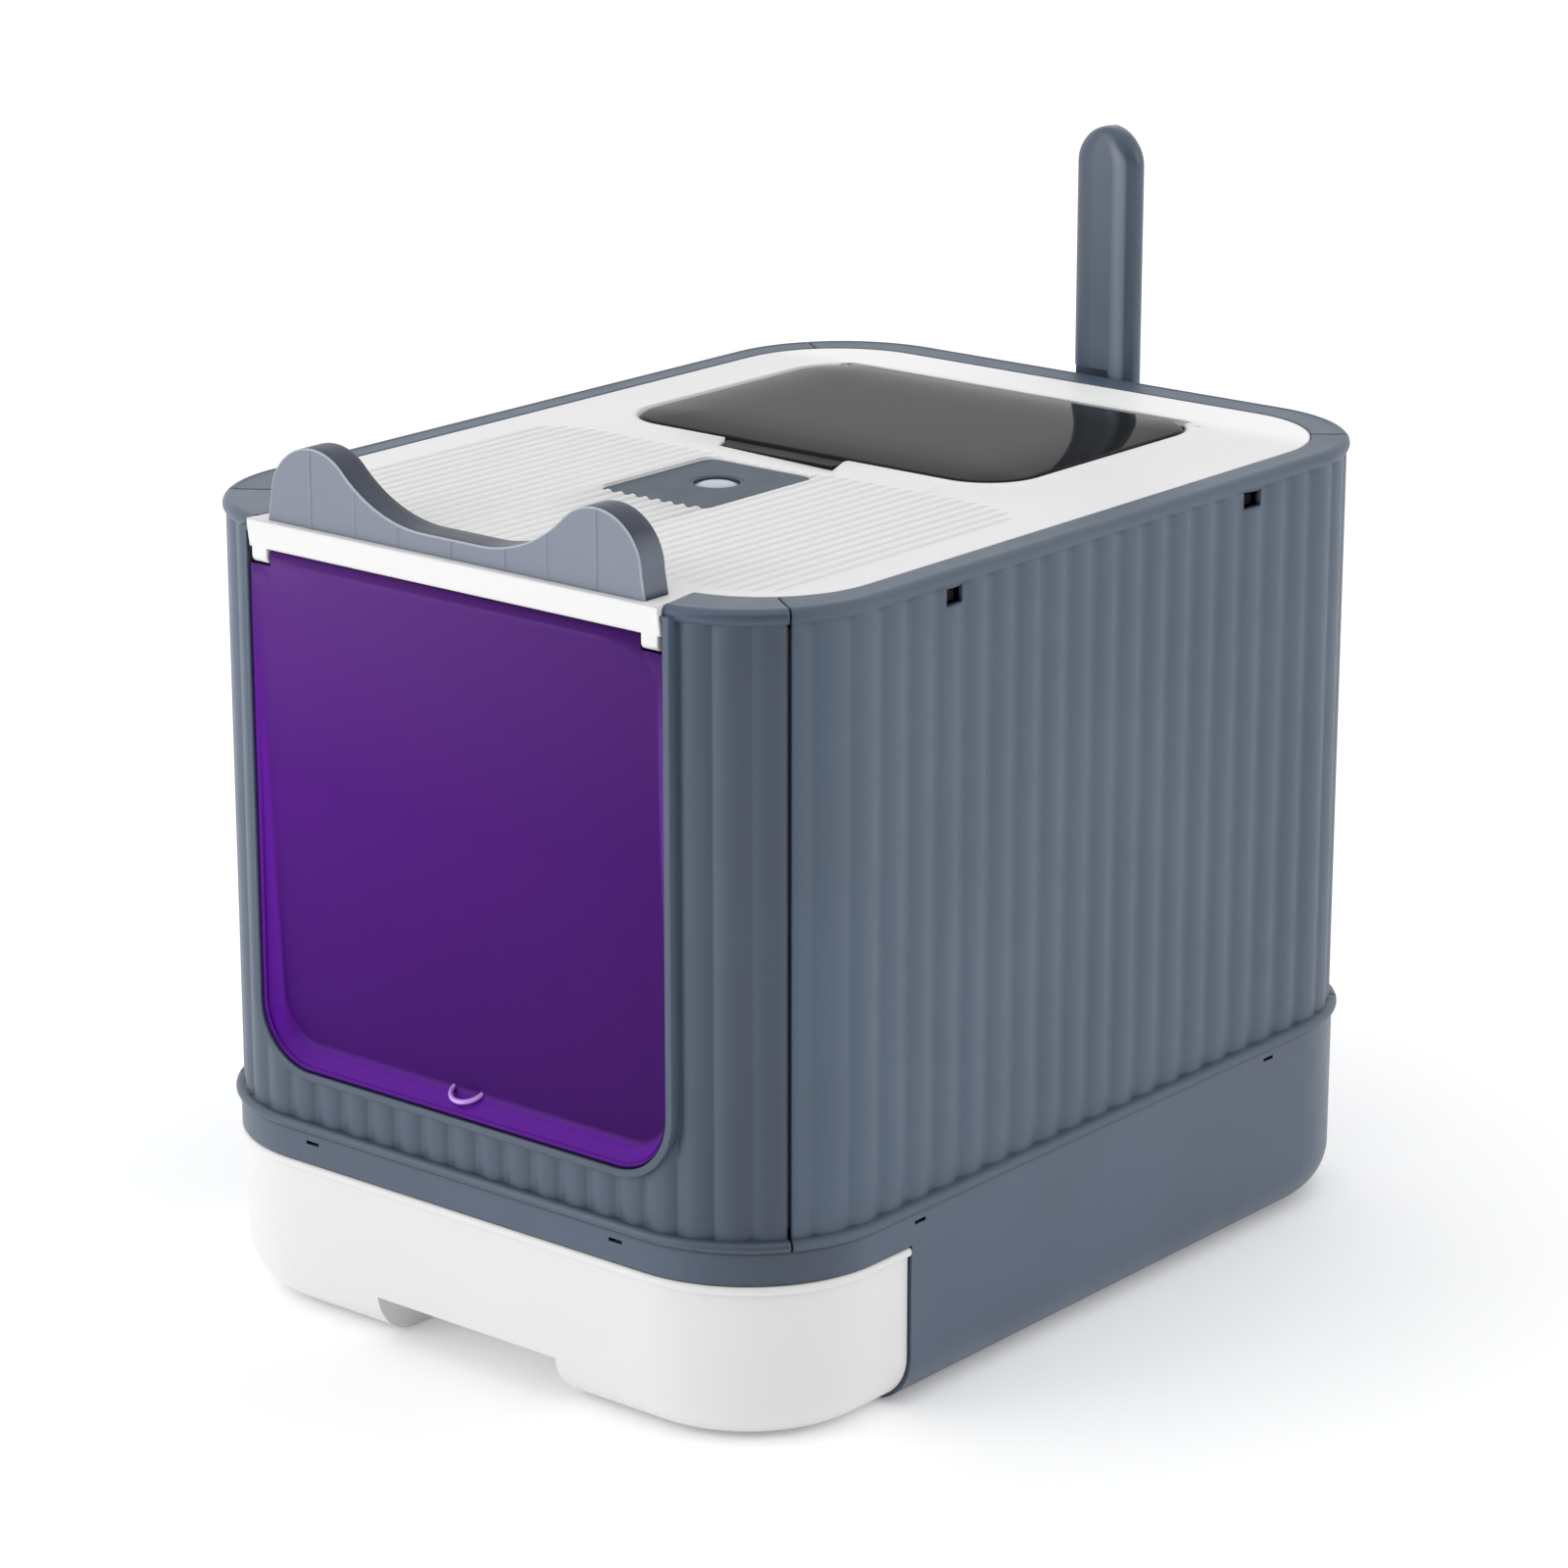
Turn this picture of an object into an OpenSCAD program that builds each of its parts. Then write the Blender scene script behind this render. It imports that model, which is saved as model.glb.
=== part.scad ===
// Enclosed litter box with a pull-out drawer, swing door and roof flap.
// The origin is the centre of the box's plan on the floor, the front faces -Y.

/* [Box] */
// Width across the base
box_w = 390; // [380:1:400]
// Depth from front to rear
box_d = 516; // [506:1:526]
// Height of the rim above the floor
rim_z = 411; // [406:1:418]
// Plan radius of the corners
corner_r = 77; // [75:1:79]

/* [Base] */
// Height of the base shell
base_h = 101; // [100:0.5:103]
// Wall thickness of the base
base_t = 3; // [2.4:0.2:3.4]
// Rounding along the foot of the base
foot_r = 26; // [22:1:28]

/* [Drawer] */
// Height of the drawer front
drawer_h = 84.2; // [83:0.2:84.6]
// How far the drawer front wraps round the sides
wrap_y = 105; // [98:1:112]
// Wall thickness of the drawer
drawer_t = 2.5; // [2:0.25:3]
// Width of the finger recess
grip_w = 118; // [100:2:124]
// Height of the finger recess
grip_h = 24; // [20:1:27]

/* [Walls] */
// Width of one wave of the side walls
wave_side = 20.5; // [20:0.1:21]
// Width of one wave of the front and rear walls
wave_front = 18; // [17.5:0.1:18.5]
// Height of a wave above the valleys between them
wave_h = 1.7; // [1.4:0.1:2]
// Thickness of the wall in a valley
wall_t = 2; // [1.8:0.1:2.2]

/* [Door] */
// Width of the door opening
door_w = 265; // [261:1:267]
// Height of the sill above the floor
sill_z = 132.8; // [130:0.2:136]
// Depth of the dish at the foot of the door
dish_h = 17; // [14:0.5:18]
// Depth of the dish under the hinge
dish_top = 6; // [5:0.5:7]

/* [Lid] */
// Height of the ribs on the lid
rib_h = 1.3; // [1:0.1:1.5]
// Distance between two ribs
rib_pitch = 8; // [7:0.5:9]
// Rise of the deck round the window
deck_h = 3.4; // [2:0.2:4]
// Rounding along the edge of the window
win_edge = 3.5; // [3:0.25:3.5]

/* [Crest] */
// Width of the crest
crest_w = 240; // [234:1:244]
// Thickness of the crest
crest_t = 17; // [15:0.5:18]
// Radius of an ear
ear_r = 28; // [26:0.5:29]

/* [Module] */
// Radius of the round button
button_r = 11.6; // [10.5:0.1:12]
// Travel of the button
button_travel = 1; // [0.8:0.1:1.1]

/* [Scoop] */
// Height of the scoop's top above the floor
scoop_z = 545; // [535:1:555]
// Width of the handle
handle_w = 37; // [34:0.5:39]
// Width of the blade
blade_w = 112; // [104:1:116]

/* [Hidden] */
$fn = 64;

slate = [0.38, 0.43, 0.48];
pale = [0.92, 0.92, 0.92];
smoke = [0.2, 0.2, 0.21, 0.8];
purple = [0.32, 0.13, 0.46, 0.8];

hw = box_w/2;
hd = box_d/2;
cx = hw - corner_r;
cy = hd - corner_r;

// small gaps that fits use
slip = 0.8;
seat = 0.4;

// base and drawer
ledge_t = 3;
ledge_z = base_h - ledge_t;
front_gap_z = drawer_h + slip;
open_w = box_w - 54;
open_d = box_d - 60;
open_r = corner_r - 24;
wrap_end = -hd + wrap_y;
drawer_in = 2;
drawer_front = 1.5;
drawer_r = corner_r - drawer_in;
pan_w = box_w - 2*base_t - 3;
pan_rear = hd - base_t - 2;
pan_foot = foot_r - 2;
pan_z = base_t + 1.2;
skirt_z = 1;
lip_h = 5;
lip_out = 2.6;
pan_top = drawer_h - 3;
grip_depth = 76;
slot_x = 100;
slot_y = 146;
slot_w = 8.5;
slot_h = 2;
slot_z = 94.8;
snap_in = base_t + seat;
snap_t = 2.2;

// walls
bead_h = 8;
foot_bead_h = 5.4;
foot_bead_out = 2.6;
wall_in = 1.5;
wall_mid = wall_in + wave_h;
wave_share = 0.86;
wall_z0 = base_h + 3;
wall_z1 = rim_z - 4;
seam_gap = 1.1;
// angle of the corner seams, from the side wall's normal
seam_a = 35.4;
wall_gap = 1.8;
lap_t = 1.5;
lid_w = box_w - 34;
lid_y0 = -hd + 28;
lid_y1 = hd - 22;
lid_r = corner_r - 15;
lid_cy = (lid_y0 + lid_y1)/2;
lid_d = lid_y1 - lid_y0;
rim_gap = 0.6;
flange_t = 3;
flange_z = rim_z - flange_t - 0.3;
inner_lip_z = rim_z - 7;
inner_lip_t = 2;
latch_y = 121;
latch_w = 13;
latch_z0 = rim_z - 17;
latch_z1 = rim_z - 8.5;
door_corner = 32;
lip_w = 4;

// lid
lid_t = 3;
lid_top = rim_z - 0.4;
lid_z = lid_top - lid_t;
skirt_t = 2.4;
lid_skirt_z = rim_z - 23;
header_hw = door_w/2 - 1.5;
header_in = 5.5;
header_y = -hd;
header_t = 2.6;
header_z = rim_z - 14.5;
ear_w = 10;
ear_out = header_hw - 1.6;
ear_in = ear_out - ear_w;

// door and its hinge
door_gap = 1.2;
door_hw = door_w/2 - door_gap;
axis_y = -hd + 4;
axis_z = header_z - 4;
barrel_r = 3.5;
door_t = 2.6;
door_y = axis_y - barrel_r + 0.2;
door_pin_r = 2;
door_pin_l = 20;
notch_z = axis_z - 4.8;
door_z0 = sill_z + door_gap;
dish_rim = 2.2;
dish_w = 2*(door_hw - dish_rim);
dish_z0 = door_z0 + dish_rim;
dish_z1 = notch_z - 1.6;
dish_r = 28.6;
dish_fillet = dish_top - 0.6;
dish_tilt = atan((dish_h - dish_top)/(dish_z1 - dish_z0));
pull_r = 9;
pull_x = -3.5;

// window flap
win_x = -5;
win_hw = 125;
win_y0 = 7;
win_y1 = 185;
win_r = 30;
win_h = 6;
win_z = lid_top - 1.2;
win_top = win_z + win_h;
win_shell = 2.6;
win_gap = 1.3;
win_axis_y = win_y1 - win_edge;
win_axis_z = win_top - win_edge;
win_pin_r = 1.5;
win_pin_l = 24;
win_pin_in = win_hw - 27;
win_groove = win_hw - win_r + 19;
win_ledge = 8;
deck_run = 20;
tab_x0 = -56;
tab_x1 = 27;
tab_y = -4;
tab_t = 3.2;
win_cy = (win_y0 + win_y1)/2;
rib_fade = 14;
rib_side = 24;

// module
mod_x = win_x - 1;
mod_y = -65;
mod_w = 68;
mod_d = 86;
mod_r = 7;
mod_top = rim_z - 0.8;
plate_t = 2;
flange_h = 1.2;
mod_seat = mod_top - plate_t - flange_h;
cup_w = 62;
cup_d = 80;
cup_z = rim_z - 25;
cup_t = 2;
button_y = -58.5;
button_x = -5;
button_top = mod_top + 0.4;
ring_w = 2.2;
board_z = cup_z + 10;
board_t = 1.6;

// crest
crest_foot = lid_top + 0.2;
ear_x = crest_w/2 - 30;
ear_z = 11;
valley_z = 9.4;
valley_r = 75;
reach = ear_r + valley_r - 0.1;
drop = valley_z + valley_r - ear_z;
valley_x = ear_x - sqrt(reach*reach - drop*drop);
touch_z = ear_z + ear_r*drop/reach;

// scoop
scoop_x = -4;
scoop_y = hd + 9.3;
handle_t = 16.5;
handle_z0 = 392;
blade_z0 = 262;
blade_z1 = 385;
blade_t = 2.4;
blade_side = 20;
pocket_t = 2.4;
pocket_z0 = blade_z0 - pocket_t - 0.3;
pocket_z1 = 330;

// rounded rectangle in plan
module round_rect(w, d, r) {
  square([w - 2*r, d], center = true);
  square([w, d - 2*r], center = true);
  for (sx = [-1, 1], sy = [-1, 1])
    translate([sx*(w/2 - r), sy*(d/2 - r)]) circle(r);
}

// upright prism on a rounded rectangle
module prism(w, d, r, z0, z1) {
  translate([0, 0, z0]) linear_extrude(z1 - z0) round_rect(w, d, r);
}

// profile of a block whose two foot edges are rounded
module foot_profile(w, h, f) {
  translate([-w/2, f]) square([w, h - f]);
  translate([-w/2 + f, 0]) square([w - 2*f, h]);
  for (s = [-1, 1]) translate([s*(w/2 - f), f]) circle(f);
}

// block with round corners in plan and a rounded foot edge
module round_foot(w, d, r, h, f) {
  rotate([90, 0, 90]) linear_extrude(w - 2*r, center = true) foot_profile(d, h, f);
  rotate([90, 0, 0]) linear_extrude(d - 2*r, center = true) foot_profile(w, h, f);
  for (sx = [-1, 1], sy = [-1, 1])
    translate([sx*(w/2 - r), sy*(d/2 - r), 0]) rotate_extrude() intersection() {
      foot_profile(2*r, h, f);
      square([r, h]);
    }
}

module cuboid(x0, x1, y0, y1, z0, z1) {
  translate([x0, y0, z0]) cube([x1 - x0, y1 - y0, z1 - z0]);
}

// plan region that belongs to one wall, cut along the corner seams
// along: half length of the straight part, out: its distance from the centre
module sector(out, along, a, gap) {
  u = [cos(a), sin(a)];
  n = [sin(a), -cos(a)]*gap/2;
  far = 220;
  polygon([
    [out - corner_r + n[0], -along - n[1]],
    [out - corner_r + n[0] + far*u[0], -along - n[1] - far*u[1]],
    [out - corner_r + n[0] + far*u[0], along + n[1] + far*u[1]],
    [out - corner_r + n[0], along + n[1]]]);
}

// places a child on the wall line, s is the distance along it from the middle
module on_line(out, along, r, s) {
  if (abs(s) <= along) translate([out, s]) children();
  else translate([out - r, sign(s)*along])
    rotate(sign(s)*(abs(s) - along)/r*180/PI) translate([r, 0]) children();
}

// fluted wall in plan: flat arcs stand side by side on the wall line
module fluted(out, along, a, pitch) {
  o = out - wall_mid;
  r = corner_r - wall_mid;
  half = wave_share*pitch/2;
  arc_r = (half*half + wave_h*wave_h)/(2*wave_h);
  last = ceil((along + r*a*PI/180)/pitch);
  difference() {
    union() {
      round_rect(2*o, 2*(along + r), r);
      for (k = [-last:last])
        on_line(o, along, r, k*pitch) translate([wave_h - arc_r, 0]) circle(arc_r);
    }
    round_rect(2*(o - wall_t), 2*(along + r - wall_t), r - wall_t);
  }
}

// sweep of a section along one wall line and round its corners up to the seams
module sweep(out, along, r, a) {
  translate([out, along, 0]) rotate([90, 0, 0]) linear_extrude(2*along) children();
  for (m = [0, 1]) mirror([0, m, 0]) translate([out - r, along, 0])
    rotate_extrude(angle = a) translate([r, 0]) children();
}

module bead_section(z, h, out) {
  translate([out - h/2, z + h/2]) circle(h/2);
  translate([-wall_mid - 1.6, z]) square([out - h/2 + wall_mid + 1.6, h]);
}

// flat plate of the rim between the box outline and the lid
module rim_plate() {
  difference() {
    round_rect(box_w - 9.2, box_d - 9.2, corner_r - 3.1);
    translate([0, lid_cy])
      round_rect(lid_w + 2*rim_gap, lid_d + 2*rim_gap, lid_r + rim_gap);
  }
}

module rim_lip() {
  translate([0, lid_cy]) difference() {
    round_rect(lid_w + 2*rim_gap + 2*inner_lip_t, lid_d + 2*rim_gap + 2*inner_lip_t,
      lid_r + rim_gap + inner_lip_t);
    round_rect(lid_w + 2*rim_gap, lid_d + 2*rim_gap, lid_r + rim_gap);
  }
}

// fluted sheet, foot bead and rim bead of one wall, straight part on the +X side
module wall(out, along, a, pitch) {
  translate([0, 0, wall_z0]) linear_extrude(wall_z1 - wall_z0) intersection() {
    fluted(out, along, a, pitch);
    sector(out, along, a, wall_gap);
  }
  da = asin(seam_gap/2/corner_r);
  sweep(out, along, corner_r, a - da) {
    bead_section(base_h, foot_bead_h, foot_bead_out);
    bead_section(rim_z - bead_h, bead_h, 0);
  }
}

// lap behind the seams, it closes the gap between two walls
module laps(out, along, a) {
  ri = corner_r - wall_mid - wall_t;
  for (s = [-1, 1]) translate([out - corner_r, s*along, wall_z0 + 6])
    rotate([0, 0, s > 0 ? a - 5 : -a - 4])
      rotate_extrude(angle = 9) translate([ri - lap_t, 0])
        square([lap_t, wall_z1 - wall_z0 - 12]);
  for (s = [-1, 1]) translate([out - corner_r, s*along, wall_z0 + 6])
    rotate([0, 0, s > 0 ? a - 5 : -a + 2])
      rotate_extrude(angle = 3) translate([ri - lap_t, 0])
        square([lap_t + 1, wall_z1 - wall_z0 - 12]);
}

// two snap tabs that drop behind the band of the base
module wall_tabs(out, at) {
  for (s = [-1, 1]) {
    cuboid(out - snap_in - snap_t, out - snap_in, s*at - slot_w/2, s*at + slot_w/2,
      slot_z - 4, base_h + 4);
    cuboid(out - snap_in - snap_t, out - snap_in + 1, s*at - slot_w/2 + 1,
      s*at + slot_w/2 - 1, slot_z + 0.2, slot_z + slot_h - 0.2);
  }
}

module latch_hole(s) {
  cuboid(hw - 12, hw + 2, s*latch_y - latch_w/2, s*latch_y + latch_w/2,
    latch_z0, latch_z1);
}

module side_wall() {
  difference() {
    wall(hw, cy, seam_a, wave_side);
    for (s = [-1, 1]) latch_hole(s);
  }
  translate([0, 0, flange_z]) linear_extrude(flange_t) intersection() {
    rim_plate();
    sector(hw, cy, seam_a, seam_gap);
  }
  translate([0, 0, inner_lip_z]) linear_extrude(flange_z + 1 - inner_lip_z) intersection() {
    rim_lip();
    sector(hw, cy, seam_a, seam_gap);
  }
  laps(hw, cy, seam_a);
  wall_tabs(hw, slot_y);
}

// front and rear walls are drawn towards +X and turned, rear is +1 and front is -1
module end_rim(side) {
  translate([0, 0, flange_z]) linear_extrude(flange_t) intersection() {
    rim_plate();
    rotate(side*90) sector(hd, cx, 90 - seam_a, seam_gap);
  }
  translate([0, 0, inner_lip_z]) linear_extrude(flange_z + 1 - inner_lip_z) intersection() {
    rim_lip();
    rotate(side*90) sector(hd, cx, 90 - seam_a, seam_gap);
  }
}

module end_wall(side) {
  end_rim(side);
  rotate([0, 0, side*90]) {
    wall(hd, cx, 90 - seam_a, wave_front);
    wall_tabs(hd, slot_x);
  }
}

// outline of the door opening in the plane of the front, open at the top
module door_outline(grow) {
  w = door_w + 2*grow;
  r = door_corner + grow;
  translate([-w/2, sill_z - grow + r]) square([w, rim_z]);
  translate([-w/2 + r, sill_z - grow]) square([w - 2*r, rim_z]);
  for (s = [-1, 1]) translate([s*(w/2 - r), sill_z - grow + r]) circle(r);
}

module through_front(depth) {
  translate([0, -hd + depth, 0]) rotate([90, 0, 0]) linear_extrude(depth + 2) children();
}

module header_plan(grow) {
  polygon([
    [-header_hw - grow, header_y - grow],
    [header_hw + grow, header_y - grow],
    [header_hw - header_in + grow, lid_y0 + 4],
    [-header_hw + header_in - grow, lid_y0 + 4]]);
}

module front_panel() color(slate) difference() {
  union() {
    end_wall(-1);
    translate([0, -hd + 9, 0]) rotate([90, 0, 0]) linear_extrude(9.6) intersection() {
      door_outline(lip_w);
      translate([-hw, sill_z - 10]) square([box_w, rim_z - bead_h/2 + 9.5 - sill_z]);
    }
  }
  through_front(40) intersection() {
    door_outline(0);
    translate([-hw, 0]) square([box_w, inner_lip_z]);
  }
  translate([0, 0, inner_lip_z - 1]) linear_extrude(20) header_plan(seat);
}

module rear_panel() color(slate) end_wall(1);

module right_panel() color(slate) side_wall();

module left_panel() color(slate) mirror([1, 0, 0]) side_wall();

// lower shell, open in front for the drawer
module base_housing() color(slate) difference() {
  round_foot(box_w, box_d, corner_r, base_h, foot_r);
  translate([0, 0, base_t])
    round_foot(box_w - 2*base_t, box_d - 2*base_t, corner_r - base_t,
      ledge_z - base_t, foot_r - base_t);
  prism(open_w, open_d, open_r, ledge_z - 5, base_h + 1);
  cuboid(-hw - 1, hw + 1, -hd - 1, wrap_end + slip, -1, front_gap_z);
  for (sx = [-1, 1], sy = [-1, 1]) {
    cuboid(sx*slot_x - slot_w/2, sx*slot_x + slot_w/2, sy*(hd - base_t/2) - 4,
      sy*(hd - base_t/2) + 4, slot_z, slot_z + slot_h);
    cuboid(sx*(hw - base_t/2) - 4, sx*(hw - base_t/2) + 4, sy*slot_y - slot_w/2,
      sy*slot_y + slot_w/2, slot_z, slot_z + slot_h);
    cuboid(sx*slot_x - slot_w/2 - seat, sx*slot_x + slot_w/2 + seat,
      sy*(hd - snap_in - snap_t/2) - snap_t/2 - seat,
      sy*(hd - snap_in - snap_t/2) + snap_t/2 + seat, ledge_z - 2, base_h + 1);
    cuboid(sx*(hw - snap_in - snap_t/2) - snap_t/2 - seat,
      sx*(hw - snap_in - snap_t/2) + snap_t/2 + seat,
      sy*slot_y - slot_w/2 - seat, sy*slot_y + slot_w/2 + seat, ledge_z - 2, base_h + 1);
  }
}

// drawer: front part flush with the base, pan that runs inside it
module drawer_outside() {
  intersection() {
    translate([0, 0, skirt_z])
      round_foot(box_w - 2*drawer_in, box_d - 2*drawer_front, corner_r - drawer_in,
        drawer_h - skirt_z, foot_r);
    cuboid(-hw, hw, -hd - 5, wrap_end, 0, drawer_h);
  }
  translate([0, (pan_rear - hd + 8)/2, pan_z])
    round_foot(pan_w, pan_rear + hd - 8, corner_r - 6, pan_top - pan_z, pan_foot);
  intersection() {
    drawer_lip();
    cuboid(-hw - 2, hw + 2, -hd - 5, wrap_end - 0.2, drawer_h - lip_h, drawer_h);
  }
}

module drawer_lip() {
  out_w = box_w - 2*drawer_in;
  out_d = box_d - 2*drawer_front;
  r = drawer_r;
  for (m = [0, 1]) mirror([m, 0, 0]) {
    translate([out_w/2, wrap_end, 0]) rotate([90, 0, 0])
      linear_extrude(wrap_end + out_d/2 - r) lip_section();
    translate([out_w/2 - r, -out_d/2 + r, 0]) rotate([0, 0, -90])
      rotate_extrude(angle = 90) translate([r, 0]) lip_section();
    translate([0, -out_d/2, 0]) rotate([90, 0, 90])
      linear_extrude(out_w/2 - r) mirror([1, 0, 0]) lip_section();
  }
}

module lip_section() {
  translate([lip_out - lip_h/2, drawer_h - lip_h/2]) circle(lip_h/2);
  translate([-drawer_t, drawer_h - lip_h]) square([drawer_t + lip_out - lip_h/2, lip_h]);
}

// hollow of the drawer, it leaves a wall over the finger recess
module drawer_inside() difference() {
  union() {
    translate([0, 0, skirt_z + drawer_t]) intersection() {
      round_foot(box_w - 2*drawer_in - 2*drawer_t, box_d - 2*drawer_front - 2*drawer_t,
        corner_r - drawer_in - drawer_t, drawer_h, foot_r - drawer_t);
      cuboid(-hw, hw, -hd, wrap_end - drawer_t, 0, drawer_h + 5);
    }
    translate([0, (pan_rear - hd + 8)/2, pan_z + drawer_t])
      round_foot(pan_w - 2*drawer_t, pan_rear + hd - 8 - 2*drawer_t,
        corner_r - 6 - drawer_t, drawer_h, pan_foot - drawer_t);
  }
  grip_block(drawer_t);
}

module drawer() color(pale) difference() {
  drawer_outside();
  drawer_inside();
  grip_block(0);
}

module grip_block(grow) {
  cuboid(-grip_w/2 - grow, grip_w/2 + grow, -hd - 5, -hd + grip_depth + grow,
    -5, grip_h + grow);
}

module lid_field() {
  translate([0, lid_cy]) round_rect(lid_w, lid_d, lid_r);
}

module window_plan(grow) {
  translate([win_x, win_cy])
    round_rect(2*win_hw + 2*grow, win_y1 - win_y0 + 2*grow, win_r + grow);
}

module tab_plan(grow) {
  polygon([
    [tab_x0 - grow, win_y0 + 6],
    [tab_x0 + 8 - grow, tab_y - grow],
    [tab_x1 - 3 + grow, tab_y - grow],
    [tab_x1 + grow, win_y0 + 6]]);
}

// block whose four sides slope up to its top, with round corners in plan
module sloped(w, d, r, h, run) {
  rotate([90, 0, 90]) linear_extrude(w - 2*r, center = true)
    polygon([[-d/2, 0], [d/2, 0], [d/2 - run, h], [-d/2 + run, h]]);
  rotate([90, 0, 0]) linear_extrude(d - 2*r, center = true)
    polygon([[-w/2, 0], [w/2, 0], [w/2 - run, h], [-w/2 + run, h]]);
  for (sx = [-1, 1], sy = [-1, 1]) translate([sx*(w/2 - r), sy*(d/2 - r), 0])
    rotate_extrude() polygon([[0, 0], [r, 0], [r - run, h], [0, h]]);
}

// round ribs from front to rear that run out before the window's deck
module ribs() {
  n = floor((lid_w/2 - rib_side)/rib_pitch);
  rr = (4 + rib_h*rib_h)/(2*rib_h);
  y0 = lid_y0 + 6;
  y1 = win_y0 - 14;
  intersection() {
    translate([0, y0 - 1, lid_top]) rotate([-90, 0, 0])
      linear_extrude(y1 - y0 + 2) for (k = [-n:n])
        translate([k*rib_pitch, rr - rib_h]) circle(rr);
    translate([0, (y0 + y1)/2, lid_top - 0.5])
      sloped(2*(n*rib_pitch + rib_fade + 4), y1 - y0, lid_r - rib_fade, rib_h + 0.6, rib_fade);
  }
}

// raised deck round the window
module window_deck() {
  grow = win_gap + 3 + deck_run;
  translate([win_x, win_cy, lid_top - 0.5])
    sloped(2*win_hw + 2*grow, win_y1 - win_y0 + 2*grow, win_r + grow, deck_h + 0.5, deck_run);
}

// frame under the edge of the window
module window_frame() {
  z0 = win_z - 5;
  translate([0, 0, z0]) linear_extrude(lid_z + 1 - z0) difference() {
    window_plan(win_gap + 8);
    window_plan(-win_ledge);
  }
}

module lid() color(pale) difference() {
  union() {
    translate([0, 0, lid_z]) linear_extrude(lid_t) {
      lid_field();
      header_plan(0);
    }
    ribs();
    window_deck();
    window_frame();
    difference() {
      translate([0, lid_cy, lid_skirt_z]) linear_extrude(lid_z - lid_skirt_z) difference() {
        round_rect(lid_w - 1, lid_d - 1, lid_r - 0.5);
        round_rect(lid_w - 1 - 2*skirt_t, lid_d - 1 - 2*skirt_t, lid_r - 0.5 - skirt_t);
      }
      cuboid(-door_hw - 3, door_hw + 3, -hd, lid_y0 + 80, 0, lid_z);
    }
    cuboid(-header_hw, header_hw, header_y, header_y + header_t, header_z, lid_z);
    for (s = [-1, 1]) door_ear(s);
    translate([mod_x, mod_y, mod_seat - 3]) linear_extrude(lid_z - mod_seat + 3.5)
      round_rect(mod_w + 6, mod_d + 6, mod_r + 3);
  }
  translate([0, 0, win_z - seat]) linear_extrude(20) window_plan(win_gap);
  translate([0, 0, win_z - 10]) linear_extrude(20) window_plan(-win_ledge);
  translate([win_x, win_axis_y, win_axis_z]) rotate([0, 90, 0])
    cylinder(r = win_edge + 1.6, h = 2*win_groove, center = true);
  translate([0, 0, lid_top - 2]) linear_extrude(20) tab_plan(1.2);
  translate([mod_x, mod_y, mod_seat])
    linear_extrude(20) round_rect(mod_w + 1, mod_d + 1, mod_r + 0.5);
  translate([mod_x, mod_y, lid_z - 8])
    linear_extrude(20) round_rect(cup_w + 1, cup_d + 1, mod_r);
  for (sx = [-1, 1], sy = [-1, 1])
    cuboid(sx*lid_w/2 - 5, sx*lid_w/2 + 5, sy*latch_y - 5.4, sy*latch_y + 5.4,
      latch_z0 + 0.6, latch_z1 - 2.6);
  translate([0, axis_y, axis_z]) rotate([0, 90, 0])
    cylinder(r = door_pin_r, h = 2*(ear_out - 2), center = true);
  translate([win_x, win_axis_y, win_axis_z]) rotate([0, 90, 0])
    cylinder(r = win_pin_r, h = 2*(win_pin_in + win_pin_l), center = true);
}

// ear of the apron that carries a door pin
module door_ear(s) {
  x0 = s > 0 ? ear_in : -ear_out;
  x1 = s > 0 ? ear_out : -ear_in;
  cuboid(x0, x1, header_y, axis_y + 4, axis_z, header_z + 1);
  translate([x0, axis_y, axis_z]) rotate([0, 90, 0]) cylinder(r = 4, h = x1 - x0);
}

module lid_latches() color(slate) for (sx = [-1, 1], sy = [-1, 1]) {
  y = sy*latch_y;
  mirror([sx < 0 ? 1 : 0, 0, 0]) {
    cuboid(lid_w/2 - 0.5 - skirt_t - 4, lid_w/2 - 0.5 - skirt_t, y - 9, y + 9,
      latch_z0 - 3, lid_z);
    cuboid(lid_w/2 - 4, hw - 7, y - 5, y + 5, latch_z0 + 1, latch_z1 - 3);
  }
}

// two ears joined by a valley, every arc tangent to the next
module crest_outline() difference() {
  union() {
    for (s = [-1, 1]) translate([s*ear_x, ear_z]) circle(ear_r);
    polygon([[-crest_w/2, 0], [crest_w/2, 0], [ear_x + ear_r - 0.02, ear_z + 0.5],
      [-ear_x - ear_r + 0.02, ear_z + 0.5]]);
    translate([-ear_x, -1]) square([2*ear_x, touch_z + 1]);
  }
  for (s = [-1, 1]) translate([s*valley_x, valley_z + valley_r]) circle(valley_r);
  translate([-valley_x, valley_z]) square([2*valley_x, valley_r]);
  translate([-crest_w, -2*ear_r]) square([2*crest_w, 2*ear_r]);
}

module cat_ear_crest() color(slate)
  translate([0, -hd + 2 + crest_t, crest_foot]) rotate([90, 0, 0])
    linear_extrude(crest_t) crest_outline();

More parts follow.
